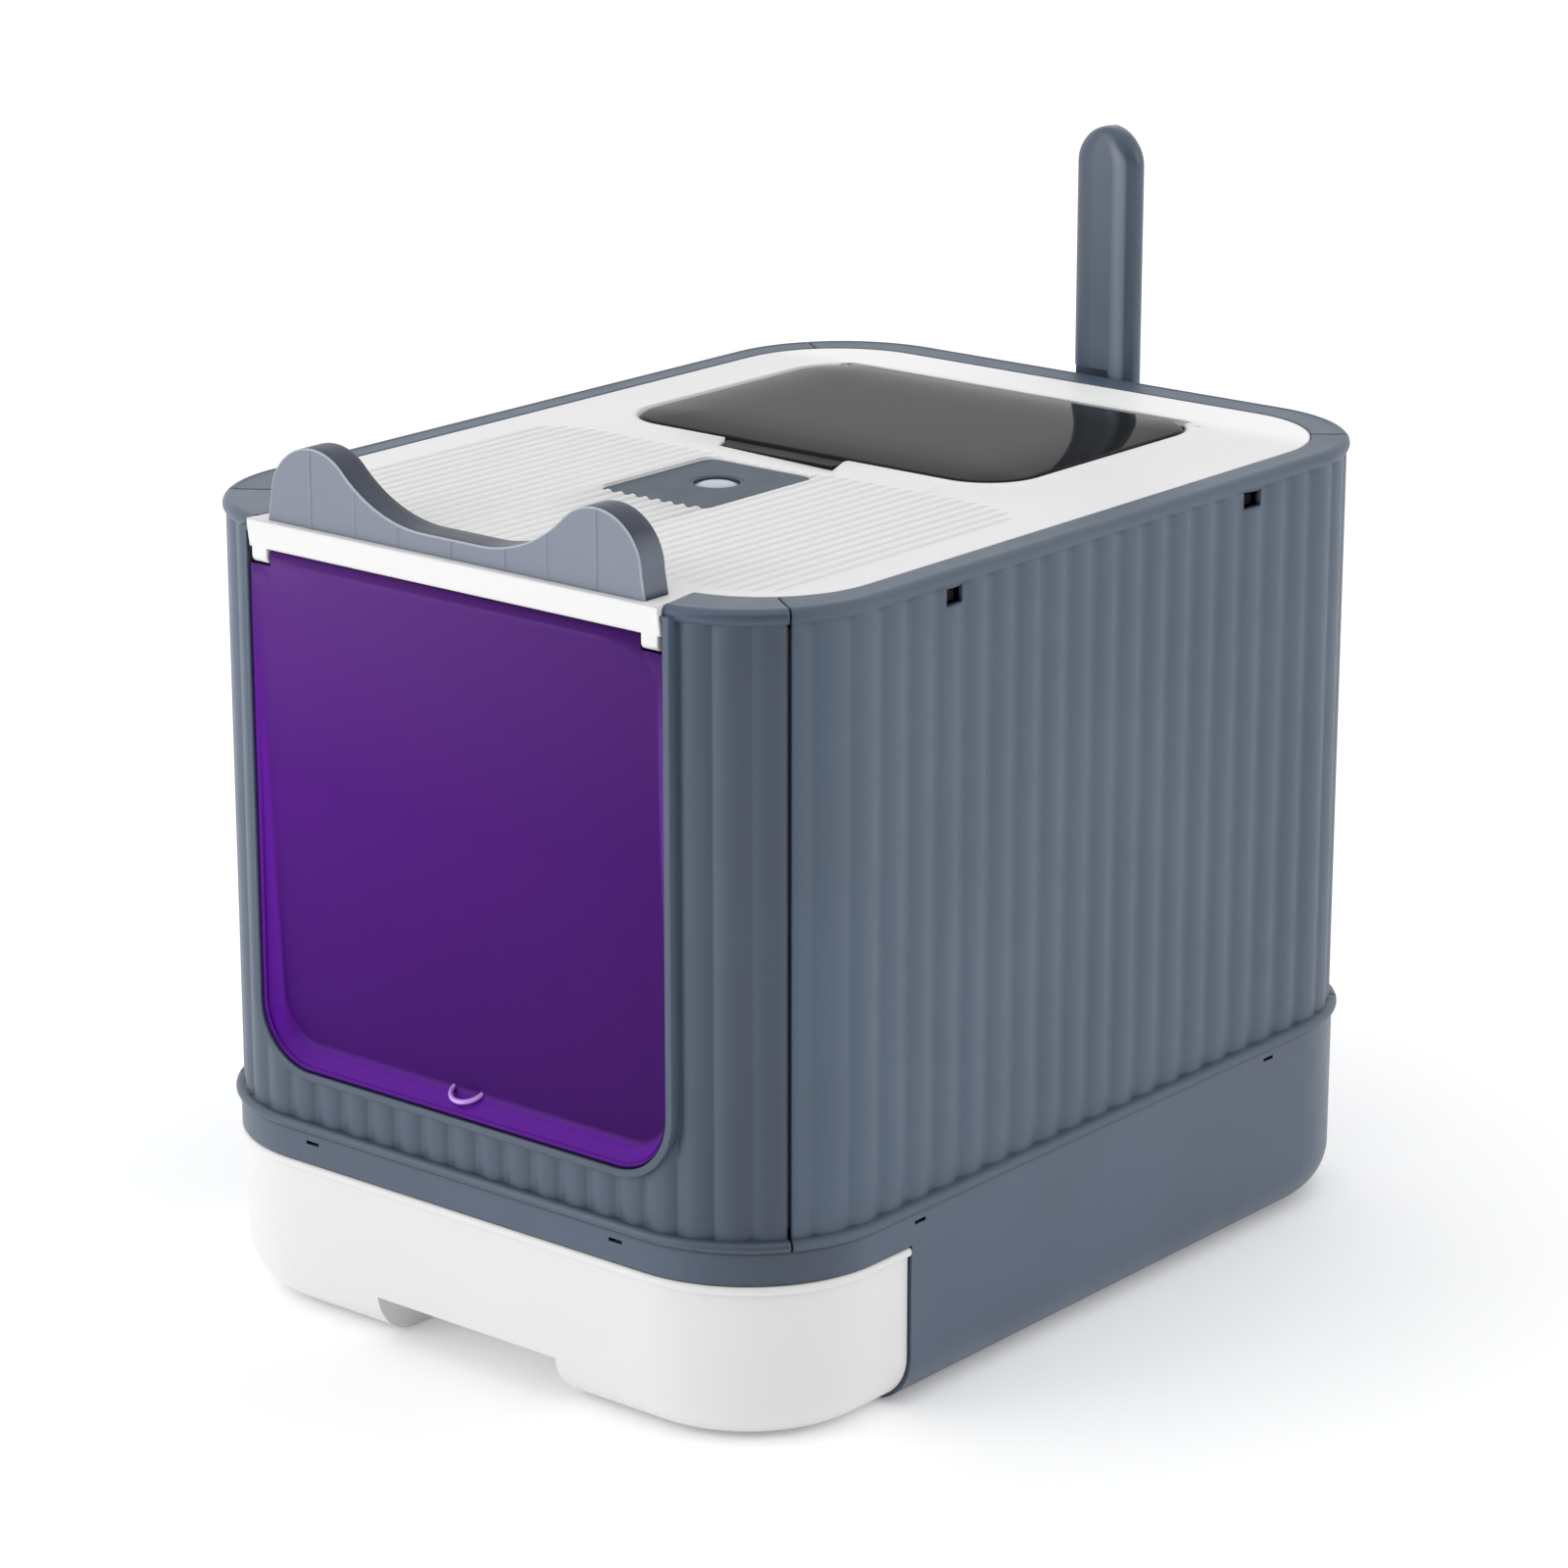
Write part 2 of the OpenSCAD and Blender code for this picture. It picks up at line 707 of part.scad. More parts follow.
// roof flap: rounded shell, solid along its rear edge where the pins run
module window_flap() color(smoke) difference() {
  translate([win_x, win_cy, win_top]) mirror([0, 0, 1])
    round_foot(2*win_hw, win_y1 - win_y0, win_r, win_h, win_edge);
  translate([win_x - win_hw - 5, win_y0 - 5, win_z - 5])
    cube([2*win_hw + 10, win_y1 - win_y0 + 10, 5]);
  translate([win_x, win_cy - 10, win_z - 1])
    linear_extrude(win_h + 1 - win_shell)
      round_rect(2*win_hw - 14, win_y1 - win_y0 - 34, win_r - 7);
  for (s = [-1, 1]) translate([win_x + s*(win_pin_in + win_pin_l), win_axis_y, win_axis_z])
    rotate([0, 90, 0]) cylinder(r = win_pin_r + 0.05, h = 2*win_pin_l + 1, center = true);
}

module window_tab() color([0.1, 0.1, 0.1]) translate([0, 0, win_z])
  linear_extrude(tab_t) intersection() {
    tab_plan(0);
    translate([tab_x0 - 5, tab_y - 5]) square([tab_x1 - tab_x0 + 10, win_y0 - 0.2 - tab_y + 5]);
  }

module window_hinge_pins() color([0.7, 0.7, 0.7]) for (s = [-1, 1])
  translate([win_x + s*(win_pin_in + win_pin_l/2), win_axis_y, win_axis_z])
    rotate([0, 90, 0]) cylinder(r = win_pin_r, h = win_pin_l, center = true);

// swing door: rim in the plane of the front, dish behind it
module door_plan(grow) {
  w = 2*door_hw + 2*grow;
  r = door_corner - door_gap + grow;
  translate([-w/2, door_z0 + r]) square([w, notch_z - door_z0 - r]);
  translate([-w/2 + r, door_z0]) square([w - 2*r, r + 1]);
  for (s = [-1, 1]) translate([s*(w/2 - r), door_z0 + r]) circle(r);
}

// hollow of the dish, its floor leans back towards the foot of the door
module dish(grow) {
  h = dish_z1 - dish_z0;
  translate([0, door_y + dish_top + grow, dish_z1]) rotate([dish_tilt, 0, 0])
    translate([0, 0, -h/2]) rotate([90, 0, 0])
      round_foot(dish_w + 2*grow, h + 2*grow, dish_r + grow, dish_h + grow + 5,
        dish_fillet + grow);
}

module door_flap() color(purple) {
  difference() {
    union() {
      translate([0, door_y + door_t, 0]) rotate([90, 0, 0]) linear_extrude(door_t) {
        door_plan(0);
        translate([-ear_in + 1.2, notch_z - 2]) square([2*ear_in - 2.4, axis_z - notch_z + 2]);
        for (s = [-1, 1]) translate([s*(door_hw + ear_out + 0.4)/2, notch_z + 3])
          square([door_hw - ear_out - 0.4, 8.8], center = true);
      }
      translate([0, axis_y, axis_z]) rotate([0, 90, 0])
        cylinder(r = barrel_r, h = 2*ear_in - 2.4, center = true);
      intersection() {
        dish(door_t);
        cuboid(-door_hw, door_hw, door_y, door_y + 30, 0, rim_z);
      }
    }
    dish(0);
    for (s = [-1, 1]) translate([s*(ear_in - door_pin_l/2), axis_y, axis_z])
      rotate([0, 90, 0]) cylinder(r = door_pin_r + 0.05, h = door_pin_l + 4, center = true);
  }
  pull();
}

// half-ring lip that stands out of the dish, just over its foot
module pull() {
  translate([pull_x, door_y + pull_r + 0.3, dish_z0 + 0.4]) linear_extrude(2.6) difference() {
    union() {
      circle(pull_r);
      translate([-pull_r, 0]) square([2*pull_r, 4]);
    }
    circle(pull_r - 2.4);
    translate([-pull_r + 2.4, 0]) square([2*pull_r - 4.8, 30]);
  }
}

module door_hinge_pins() color([0.7, 0.7, 0.7]) for (s = [-1, 1])
  translate([s*(ear_out - 2 - door_pin_l/2), axis_y, axis_z]) rotate([0, 90, 0])
    cylinder(r = door_pin_r, h = door_pin_l, center = true);

module module_housing() color(pale) {
  difference() {
    union() {
      translate([mod_x, mod_y, cup_z]) linear_extrude(mod_seat + flange_h - cup_z)
        round_rect(cup_w, cup_d, mod_r - 0.5);
      translate([mod_x, mod_y, mod_seat]) linear_extrude(flange_h)
        round_rect(mod_w - 1, mod_d - 1, mod_r - 0.5);
    }
    translate([mod_x, mod_y, cup_z + cup_t]) linear_extrude(40)
      round_rect(cup_w - 2*cup_t, cup_d - 2*cup_t, mod_r - 0.5 - cup_t);
  }
  for (sx = [-1, 1], sy = [-1, 1])
    translate([mod_x + sx*23, mod_y + sy*32, cup_z + 1]) difference() {
      cylinder(r = 3, h = board_z - cup_z - 1);
      translate([0, 0, 2]) cylinder(r = 1, h = 20);
    }
}

module module_cover() color(slate) difference() {
  union() {
    translate([mod_x, mod_y, mod_top - plate_t]) linear_extrude(plate_t)
      round_rect(mod_w, mod_d, mod_r);
    translate([mod_x, mod_y, mod_top - plate_t - 1.2]) linear_extrude(1.2)
      round_rect(cup_w - 2*cup_t - 0.6, cup_d - 2*cup_t - 0.6, mod_r - 3);
  }
  translate([button_x, button_y, mod_top - 10])
    cylinder(r = button_r + ring_w + 0.1, h = 20);
}

module button_ring() color([0.3, 0.33, 0.37]) translate([button_x, button_y, 0])
  rotate_extrude() {
    translate([button_r + 0.3, mod_top - 3.4]) square([ring_w - 0.3, 3.2]);
    translate([button_r - 2, mod_top - 4.6]) square([ring_w + 2, 1.4]);
  }

module module_button() color([0.72, 0.76, 0.8]) translate([button_x, button_y, 0]) {
  rotate_extrude() intersection() {
    union() {
      square([button_r - 1, button_top]);
      translate([button_r - 1, button_top - 1]) circle(1);
      square([button_r, button_top - 1]);
    }
    translate([0, button_top - 2.4]) square([button_r, 2.4]);
  }
  translate([0, 0, board_z + board_t + 5 + button_travel + 0.1])
    cylinder(r = 3, h = button_top - 2 - board_z - board_t - 5 - button_travel - 0.1);
}

module circuit_board() color([0.1, 0.35, 0.2]) difference() {
  translate([mod_x, mod_y, board_z]) linear_extrude(board_t)
    round_rect(cup_w - 2*cup_t - 4, cup_d - 2*cup_t - 4, 2);
  for (sx = [-1, 1], sy = [-1, 1])
    translate([mod_x + sx*23, mod_y + sy*32, board_z - 5]) cylinder(r = 1.3, h = 20);
}

module tact_switch() color([0.15, 0.15, 0.15]) translate([button_x, button_y, board_z + board_t]) {
  translate([-3, -3, 0]) cube([6, 6, 3.6]);
  cylinder(r = 1.7, h = 5);
}

module battery() color([0.3, 0.45, 0.7])
  translate([mod_x - 17, mod_y - 25, cup_z + cup_t]) cube([34, 50, 6]);

module board_screws() color([0.75, 0.75, 0.75]) for (sx = [-1, 1], sy = [-1, 1])
  translate([mod_x + sx*23, mod_y + sy*32, 0]) {
    translate([0, 0, board_z - 4]) cylinder(r = 1, h = board_t + 5);
    translate([0, 0, board_z + board_t]) cylinder(r = 2.1, h = 1.4);
  }

// scoop: handle up, slotted blade down in the pocket
module scoop() color(slate) translate([scoop_x, 0, 0]) difference() {
  union() {
    translate([0, scoop_y, handle_z0]) intersection() {
      linear_extrude(scoop_z - handle_z0) round_rect(handle_w, handle_t, 6);
      union() {
        translate([-handle_w/2, -20, 0])
          cube([handle_w, 40, scoop_z - handle_z0 - handle_w/2]);
        translate([0, 0, scoop_z - handle_z0 - handle_w/2]) rotate([90, 0, 0])
          cylinder(r = handle_w/2, h = 40, center = true);
      }
    }
    translate([0, scoop_y + 2, 0]) rotate([90, 0, 0]) linear_extrude(6)
      polygon([[-handle_w/2 + 3, handle_z0 + 6], [handle_w/2 - 3, handle_z0 + 6],
        [blade_w/2, blade_z1 - 22], [-blade_w/2, blade_z1 - 22]]);
    cuboid(-blade_w/2, blade_w/2, scoop_y - 4, scoop_y - 4 + blade_t, blade_z0, blade_z1 - 20);
    for (s = [-1, 1]) cuboid(s > 0 ? blade_w/2 - blade_t : -blade_w/2,
      s > 0 ? blade_w/2 : -blade_w/2 + blade_t, scoop_y - 4, scoop_y - 4 + blade_side,
      blade_z0, blade_z1 - 22);
    cuboid(-blade_w/2, blade_w/2, scoop_y - 4, scoop_y - 4 + blade_side,
      blade_z1 - 22, blade_z1 - 22 + blade_t);
  }
  for (k = [-5:5]) translate([k*9, scoop_y - 10, 0]) rotate([-90, 0, 0])
    linear_extrude(20) {
      translate([-2.5, -blade_z1 + 38]) square([5, blade_z1 - blade_z0 - 58]);
      translate([0, -blade_z1 + 38]) circle(2.5);
      translate([0, -blade_z0 - 20]) circle(2.5);
    }
}

// pocket behind the rear wall
module scoop_holder() color(slate) translate([scoop_x, 0, 0]) {
  y0 = hd + 0.2;
  y1 = scoop_y - 4 + blade_side + 1.5 + pocket_t;
  w = blade_w + 3 + 2*pocket_t;
  difference() {
    cuboid(-w/2, w/2, y0, y1, pocket_z0, pocket_z1);
    cuboid(-w/2 + pocket_t, w/2 - pocket_t, y0 + pocket_t, y1 - pocket_t,
      pocket_z0 + pocket_t, pocket_z1 + 1);
    translate([0, y1 + 1, pocket_z1 + 12]) rotate([90, 0, 0]) cylinder(r = 46, h = 8);
  }
  cuboid(-40, 40, hd - wall_in + 0.1, y0 + 1, pocket_z0 + 15, pocket_z1 - 15);
}

base_housing();
drawer();
front_panel();
left_panel();
right_panel();
rear_panel();
lid();
lid_latches();
cat_ear_crest();
window_flap();
window_tab();
window_hinge_pins();
door_flap();
door_hinge_pins();
module_housing();
module_cover();
button_ring();
module_button();
circuit_board();
tact_switch();
battery();
board_screws();
scoop();
scoop_holder();
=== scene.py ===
import functools
import math

import bmesh
import bpy
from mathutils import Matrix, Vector


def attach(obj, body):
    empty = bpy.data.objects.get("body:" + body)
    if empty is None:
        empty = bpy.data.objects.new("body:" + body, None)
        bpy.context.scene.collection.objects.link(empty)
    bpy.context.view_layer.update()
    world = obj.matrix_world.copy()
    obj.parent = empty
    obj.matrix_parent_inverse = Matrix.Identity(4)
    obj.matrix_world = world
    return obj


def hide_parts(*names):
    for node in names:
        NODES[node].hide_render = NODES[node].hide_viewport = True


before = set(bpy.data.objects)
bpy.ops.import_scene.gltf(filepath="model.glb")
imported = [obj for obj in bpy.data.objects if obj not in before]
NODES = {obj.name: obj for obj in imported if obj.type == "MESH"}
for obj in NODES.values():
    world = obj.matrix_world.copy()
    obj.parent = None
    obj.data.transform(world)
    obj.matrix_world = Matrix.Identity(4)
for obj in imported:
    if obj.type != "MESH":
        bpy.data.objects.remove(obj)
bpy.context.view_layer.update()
scene = bpy.context.scene
MM = 0.001


# materials

WHITE = (1, 1, 1, 1)
SOFT_SAMPLES, SHADE_SAMPLES = 4, 6
BUMP_DEPTH = 0.1 * MM
RANGE = ("From Min", "From Max", "To Min", "To Max")
# sockets of the Mix node in its colour mode: factor, A, B and the result
MIX_IN, MIX_OUT = (0, 6, 7), 2


def rgb(r, g, b):
    """Linear colour of an 8 bit screen colour."""
    def linear(v):
        v /= 255
        return v / 12.92 if v <= 0.04045 else ((v + 0.055) / 1.055) ** 2.4
    return (linear(r), linear(g), linear(b), 1.0)


def scaled(colour, factor):
    """The colour made darker or lighter."""
    return tuple(min(1.0, c * factor) for c in colour[:3]) + (1.0,)


class Graph:
    """Short names for building a node material."""

    def __init__(self, mat):
        self.mat, self.tree = mat, mat.node_tree
        self.bsdf = next(n for n in self.tree.nodes if n.type == "BSDF_PRINCIPLED")

    @classmethod
    def new(cls, name):
        """Opens a new material that has nothing but its shader."""
        mat = bpy.data.materials.new(name)
        mat.use_nodes = True
        nodes = mat.node_tree.nodes
        nodes.clear()
        out = nodes.new("ShaderNodeOutputMaterial")
        bsdf = nodes.new("ShaderNodeBsdfPrincipled")
        mat.node_tree.links.new(bsdf.outputs[0], out.inputs[0])
        return cls(mat)

    @functools.cached_property
    def at(self):
        """Position on the object, in metres."""
        return self.node("TexCoord").outputs["Object"]

    @functools.cached_property
    def normal(self):
        """Direction that the face turns to."""
        return self.node("NewGeometry").outputs["Normal"]

    def node(self, kind, **settings):
        node = self.tree.nodes.new("ShaderNode" + kind)
        for key, value in settings.items():
            setattr(node, key, value)
        return node

    def feed(self, value, socket):
        """Links an output to a socket, or sets a constant on it."""
        if isinstance(value, bpy.types.NodeSocket):
            self.tree.links.new(value, socket)
        else:
            socket.default_value = value

    def set(self, **inputs):
        """Feeds the shader's own inputs, with _ for each blank in their names."""
        for key, value in inputs.items():
            self.feed(value, self.bsdf.inputs[key.replace("_", " ")])

    def over(self, factor, colour):
        """Lays a colour over what feeds the base colour."""
        base = self.bsdf.inputs["Base Color"]
        self.feed(self.mix(factor, base.links[0].from_socket, colour), base)

    def split(self, vector):
        """The X, Y and Z of a vector."""
        node = self.node("SeparateXYZ")
        self.feed(vector, node.inputs[0])
        return node.outputs

    def dot(self, a, b):
        node = self.node("VectorMath", operation="DOT_PRODUCT")
        self.feed(a, node.inputs[0])
        self.feed(b, node.inputs[1])
        return node.outputs["Value"]

    def calc(self, operation, *values, clamp=False):
        node = self.node("Math", operation=operation, use_clamp=clamp)
        for value, socket in zip(values, node.inputs):
            self.feed(value, socket)
        return node.outputs[0]

    def noise(self, scale, detail=3.0):
        node = self.node("TexNoise")
        node.inputs["Scale"].default_value = scale
        node.inputs["Detail"].default_value = detail
        self.feed(self.at, node.inputs["Vector"])
        return node.outputs[0]

    def ramp(self, value, lo, hi, a=0, b=1):
        """Maps lo to hi onto a to b, and holds a and b beyond."""
        node = self.node("MapRange")
        for key, number in zip(RANGE, (lo, hi, a, b)):
            node.inputs[key].default_value = number
        self.feed(value, node.inputs["Value"])
        return node.outputs[0]

    def cloud(self, scale, a=0, b=1, span=(0.3, 0.7), detail=3.0):
        """Noise of which a span is mapped onto a to b."""
        return self.ramp(self.noise(scale, detail), *span, a, b)

    def mix(self, factor, a, b):
        """Colour a where the factor is 0, colour b where it is 1."""
        node = self.node("Mix", data_type="RGBA")
        for key, value in zip(MIX_IN, (factor, a, b)):
            self.feed(value, node.inputs[key])
        return node.outputs[MIX_OUT]

    def room(self, reach):
        """How open the place is within a reach in millimetres, 1 for free."""
        node = self.node("AmbientOcclusion", samples=SHADE_SAMPLES)
        node.inputs["Distance"].default_value = reach * MM
        return node.outputs["AO"]

    def surface(self, radius, height, strength):
        """Rounds the edges by a radius in millimetres and lays a bump on them."""
        soft = self.node("Bevel", samples=SOFT_SAMPLES)
        soft.inputs["Radius"].default_value = radius * MM
        bump = self.node("Bump")
        bump.inputs["Strength"].default_value = strength
        bump.inputs["Distance"].default_value = BUMP_DEPTH
        self.feed(height, bump.inputs["Height"])
        self.feed(soft.outputs[0], bump.inputs["Normal"])
        self.set(Normal=bump.outputs[0])
        return soft.outputs[0]


# noise scales of the moulded plastic: its grain, the drift of its colour and of its gloss
GRAIN_SCALE, DRIFT_SCALE, GLOSS_SCALE = 2200.0, 9.0, 60.0
DRIFT_SPAN, GLOSS_SPREAD = (0.35, 0.65), 0.03
# cosines between which an edge gets its painted highlight, and openness between which
# seams and creases get painted shade
EDGE_HIGHLIGHT, SHADE_OPENNESS = (0.995, 0.9), (0.72, 0.25)


def plastic(name, base, rough=0.42, grain=0.05, bevel=0.6, drift=0.06, specular=0.5,
            edge=0.12, crevice=0.45, reach=7.0):
    """Moulded plastic: fine grain, slow colour drift, soft edges with a painted highlight,
    and painted shade in seams and creases.

    bevel and reach are millimetres; drift, edge (how much lighter the painted highlight
    makes an edge) and crevice (how much darker the painted shade makes a crease) are
    shares of the colour.
    """
    g = Graph.new(name)
    soft = g.surface(bevel, g.noise(GRAIN_SCALE, 2.0), grain)
    colour = g.mix(g.cloud(DRIFT_SCALE, span=DRIFT_SPAN), scaled(base, 1 - drift),
                   scaled(base, 1 + drift))
    # painted highlight: faces near edges that the bevel rounds are mixed towards white
    lit = g.mix(g.ramp(g.dot(soft, g.normal), *EDGE_HIGHLIGHT, 0, edge), colour, WHITE)
    # painted shade: where little is open within reach, the colour is mixed towards a darker one
    g.set(Base_Color=g.mix(g.ramp(g.room(reach), *SHADE_OPENNESS), lit, scaled(base, 1 - crevice)),
          Roughness=g.cloud(GLOSS_SCALE, rough - GLOSS_SPREAD, rough + GLOSS_SPREAD,
                            detail=4.0),
          Specular_IOR_Level=specular)
    return g.mat


def fade(mat, axis, span, colour, factor=1.0):
    """Paints shade or light along one object axis: mixes a colour in, from full at span[0] to
    none at span[1].
    """
    g = Graph(mat)
    g.over(g.ramp(g.split(g.at)[axis], *span, factor, 0), colour)


def tint_towards(mat, aim, colour, span, factor):
    """Paints shade or light: mixes a colour in where the surface turns towards a direction on
    the object.

    span gives the cosines where it starts and where it is full.
    """
    g = Graph(mat)
    g.over(g.ramp(g.dot(g.normal, aim), *span, 0, factor), colour)


SLATE, WALL_SLATE, PALE = rgb(73, 87, 106), rgb(73, 88, 106), rgb(227, 227, 227)

M_SLATE = plastic("slate", SLATE, rough=0.38, grain=0.10, crevice=0.7)
M_WALL = plastic("slate_wall", WALL_SLATE, rough=0.46, grain=0.10, bevel=4.0, edge=0.0,
                 crevice=0.5)
M_FRONT = plastic("slate_front", SLATE, rough=0.40, grain=0.10, bevel=1.8, edge=0.0,
                  crevice=0.7)
M_BASE = plastic("slate_base", SLATE, rough=0.38, grain=0.10, crevice=0.7)
M_HANDLE = plastic("slate_handle", rgb(76, 90, 108), rough=0.34, grain=0.08, crevice=0.7)
M_PLATE = plastic("slate_plate", rgb(75, 86, 98), rough=0.5, grain=0.08, specular=0.15)
M_SATIN = plastic("satin_slate", rgb(122, 128, 144), rough=0.32, grain=0.02, bevel=0.3,
                  drift=0.02, edge=0.0, crevice=0.2, reach=3.0)
# painted reflection: the band over the crest's top and back is coloured dark, standing in for a
# darker room mirrored above it
M_BAND = plastic("crest_band_painted_reflection", rgb(70, 75, 88), rough=0.35, grain=0.03, bevel=0.3,
                 drift=0.03, edge=0.0, specular=0.12)
# painted highlight: the crest's round front edge is coloured bright
M_RIM = plastic("crest_edge_painted_highlight", rgb(165, 171, 184), rough=0.25, grain=0.02, bevel=0.3,
                edge=0.0, crevice=0.0)
M_WHITE = plastic("white", PALE, rough=0.45, grain=0.06, bevel=0.7, drift=0.01, edge=0.0,
                  crevice=0.35, reach=4.0)
M_LID = plastic("white_lid", PALE, rough=0.5, bevel=2.4, drift=0.01, edge=0.0,
                specular=0.3, crevice=0.2, reach=4.0)
# painted glint: the door's pull is coloured pale and bright all over, standing in for the
# highlights on its rim
M_GLINT = plastic("pull_painted_glint", rgb(200, 152, 240), rough=0.12, grain=0.01, bevel=0.3,
                  edge=0.0, crevice=0.5, reach=3.0, specular=0.8)
M_BLACK = plastic("black", rgb(28, 28, 29), rough=0.5, specular=0.1)
M_BUTTON = plastic("pale_button", rgb(165, 176, 192), rough=0.25, edge=0.05)
M_STEEL = plastic("steel", rgb(160, 160, 162), rough=0.3)
M_BOARD = plastic("board", rgb(30, 90, 50), rough=0.4)
M_CELL = plastic("battery", rgb(40, 80, 140), rough=0.3)

# heights and depths in metres between which a colour fades out: painted shade low on the
# front, a painted shadow under the walls' foot bead, painted light on the lid's header face
# and at its rear
FRONT_FOOT_SHADE, BEAD_SHADOW_LINE = (0.11, 0.30), (0.1010, 0.0992)
HEADER_FACE_LIGHT, LID_REAR_LIGHT = (-0.2582, -0.2565), (0.205, 0.185)
# directions on the object: painted shade where faces turn to its nearest corner, a painted
# highlight on the ridge and painted shade on the left edge of the handle
CORNER_SHADE_AIM = (0.76, -0.65, 0.0)
HANDLE_HIGHLIGHT_AIM, HANDLE_SHADE_AIM = (0.22, -0.975, 0.0), (-0.64, -0.77, 0.0)

# painted light: faces of the crest's band that turn to the sides are painted lighter
for side in (-1, 1):
    tint_towards(M_BAND, (side, 0, 0), rgb(128, 134, 148), (0.75, 1.0), 0.75)
# painted shade: the front panel is painted darker towards its foot
fade(M_FRONT, "Z", FRONT_FOOT_SHADE, rgb(52, 62, 76), 0.20)
# painted shade: faces of the front and the base that turn towards the nearest corner are painted
# darker
for material in (M_FRONT, M_BASE):
    tint_towards(material, CORNER_SHADE_AIM, rgb(44, 54, 68), (0.80, 1.0), 0.55)
# painted shadow: the top edge of the base, under the walls' overhanging foot bead, is painted
# dark
fade(M_BASE, "Z", BEAD_SHADOW_LINE, rgb(22, 28, 38), 0.85)
# painted light: the lid's header face and its rear are painted lighter
fade(M_LID, "Y", HEADER_FACE_LIGHT, rgb(233, 233, 233))
fade(M_LID, "Y", LID_REAR_LIGHT, rgb(242, 242, 242))
# painted highlight on the handle's front ridge, and painted shade on its left edge
tint_towards(M_HANDLE, HANDLE_HIGHLIGHT_AIM, rgb(134, 146, 162), (0.972, 1.0), 0.8)
tint_towards(M_HANDLE, HANDLE_SHADE_AIM, rgb(62, 72, 88), (0.85, 1.0), 0.6)

# the door's colours at its left and right side, from the foot up to the hinge; the climb to
# paler, greyer colours and the paler left side are painted reflection on the tinted purple
DOOR_SIDES = (-0.13, 0.13)
DOOR_COLOURS = ((rgb(66, 12, 110), rgb(56, 10, 88)), (rgb(80, 22, 126), rgb(64, 16, 102)),
                (rgb(93, 50, 129), rgb(74, 33, 108)))
DOOR_CLIMBS = ((0.15, 0.27), (0.28, 0.40))
# heights below which the walls and foot of the dish get a painted glow and its creases painted
# shade
GLOW_TOP, SHADE_TOP = (0.365, 0.378), (0.345, 0.36)
# how far a face turns up or aside where the painted glow starts and where it is full
GLOW_TURN = (0.12, 0.75)
# openness between which the dish's creases get painted shade, its reach, and the painted shade
# colour
DOOR_SHADE_OPENNESS, SHADE_REACH, DOOR_DARK = (0.75, 0.3), 6.0, rgb(26, 5, 52)
# the painted glow of faces that turn aside, from little to much
ASIDE, DOOR_GLOW = (0.3, 0.8), (rgb(98, 34, 152), rgb(114, 36, 180))
EDGE_RADIUS = 1.2


def purple():
    """Tinted sheet with painted light: a painted reflection makes it paler and greyer up under
    the hinge than deep below, its creases get painted shade and the walls and foot of its dish a
    painted glow.
    """
    g = Graph.new("purple")
    where, face = g.split(g.at), g.split(g.normal)
    height = where["Z"]
    across = g.ramp(where["X"], *DOOR_SIDES)
    sheet, *higher = (g.mix(across, *pair) for pair in DOOR_COLOURS)
    cloud = g.cloud(5.0, -0.05, 0.05)
    # painted reflection: paler colours climb in towards the hinge
    for span, colour in zip(DOOR_CLIMBS, higher):
        climb = g.calc("ADD", g.ramp(height, *span), cloud, clamp=True)
        sheet = g.mix(climb, sheet, colour)
    # painted shade in the dish's creases, none up under the hinge
    shade = g.calc("MULTIPLY", g.ramp(g.room(SHADE_REACH), *DOOR_SHADE_OPENNESS, 0, 0.7),
                   g.ramp(height, *SHADE_TOP, 1, 0))
    dull = g.mix(shade, sheet, DOOR_DARK)
    # painted glow: walls and foot of the dish are painted lighter, standing in for light that
    # the edges of a tinted clear sheet carry
    aside = g.calc("ABSOLUTE", face["X"])
    turned = g.calc("MAXIMUM", aside, face["Z"])
    glow = g.calc("MULTIPLY", g.ramp(turned, *GLOW_TURN), g.ramp(height, *GLOW_TOP, 1, 0))
    lit = g.mix(g.ramp(aside, *ASIDE), *DOOR_GLOW)
    g.surface(EDGE_RADIUS, g.noise(900.0), 0.03)
    g.set(Base_Color=g.mix(glow, dull, lit), Roughness=g.cloud(90.0, 0.20, 0.26), IOR=1.4,
          Specular_IOR_Level=0.08)
    return g.mat


def smoked():
    """Dark glossy sheet of the roof flap."""
    g = Graph.new("smoked")
    cloud = g.cloud(8.0, span=DRIFT_SPAN)
    g.surface(EDGE_RADIUS, g.noise(40.0), 0.02)
    g.set(Base_Color=g.mix(cloud, rgb(26, 26, 27), rgb(32, 32, 33)),
          Roughness=g.cloud(70.0, 0.05, 0.08), IOR=1.16, Specular_IOR_Level=0.17)
    return g.mat


M_PURPLE = purple()
M_SMOKED = smoked()

LOOK = {
    "base_housing": M_BASE, "drawer": M_WHITE, "front_panel": M_FRONT,
    "left_panel": M_WALL, "right_panel": M_WALL, "rear_panel": M_WALL, "lid": M_LID,
    "lid_latches": M_BLACK, "cat_ear_crest": M_SATIN, "window_flap": M_SMOKED,
    "window_tab": M_BLACK, "window_hinge_pins": M_STEEL, "door_flap": M_PURPLE,
    "door_hinge_pins": M_STEEL, "module_housing": M_WHITE, "module_cover": M_PLATE,
    "button_ring": M_PLATE, "module_button": M_BUTTON, "circuit_board": M_BOARD,
    "tact_switch": M_BLACK, "battery": M_CELL, "board_screws": M_STEEL, "scoop": M_SLATE,
    "scoop_holder": M_SLATE,
}
for name, material in LOOK.items():
    data = NODES[name].data
    data.materials.clear()
    data.materials.append(material)


# pieces with finer form than their solids, all in millimetres

TINY = 1e-6
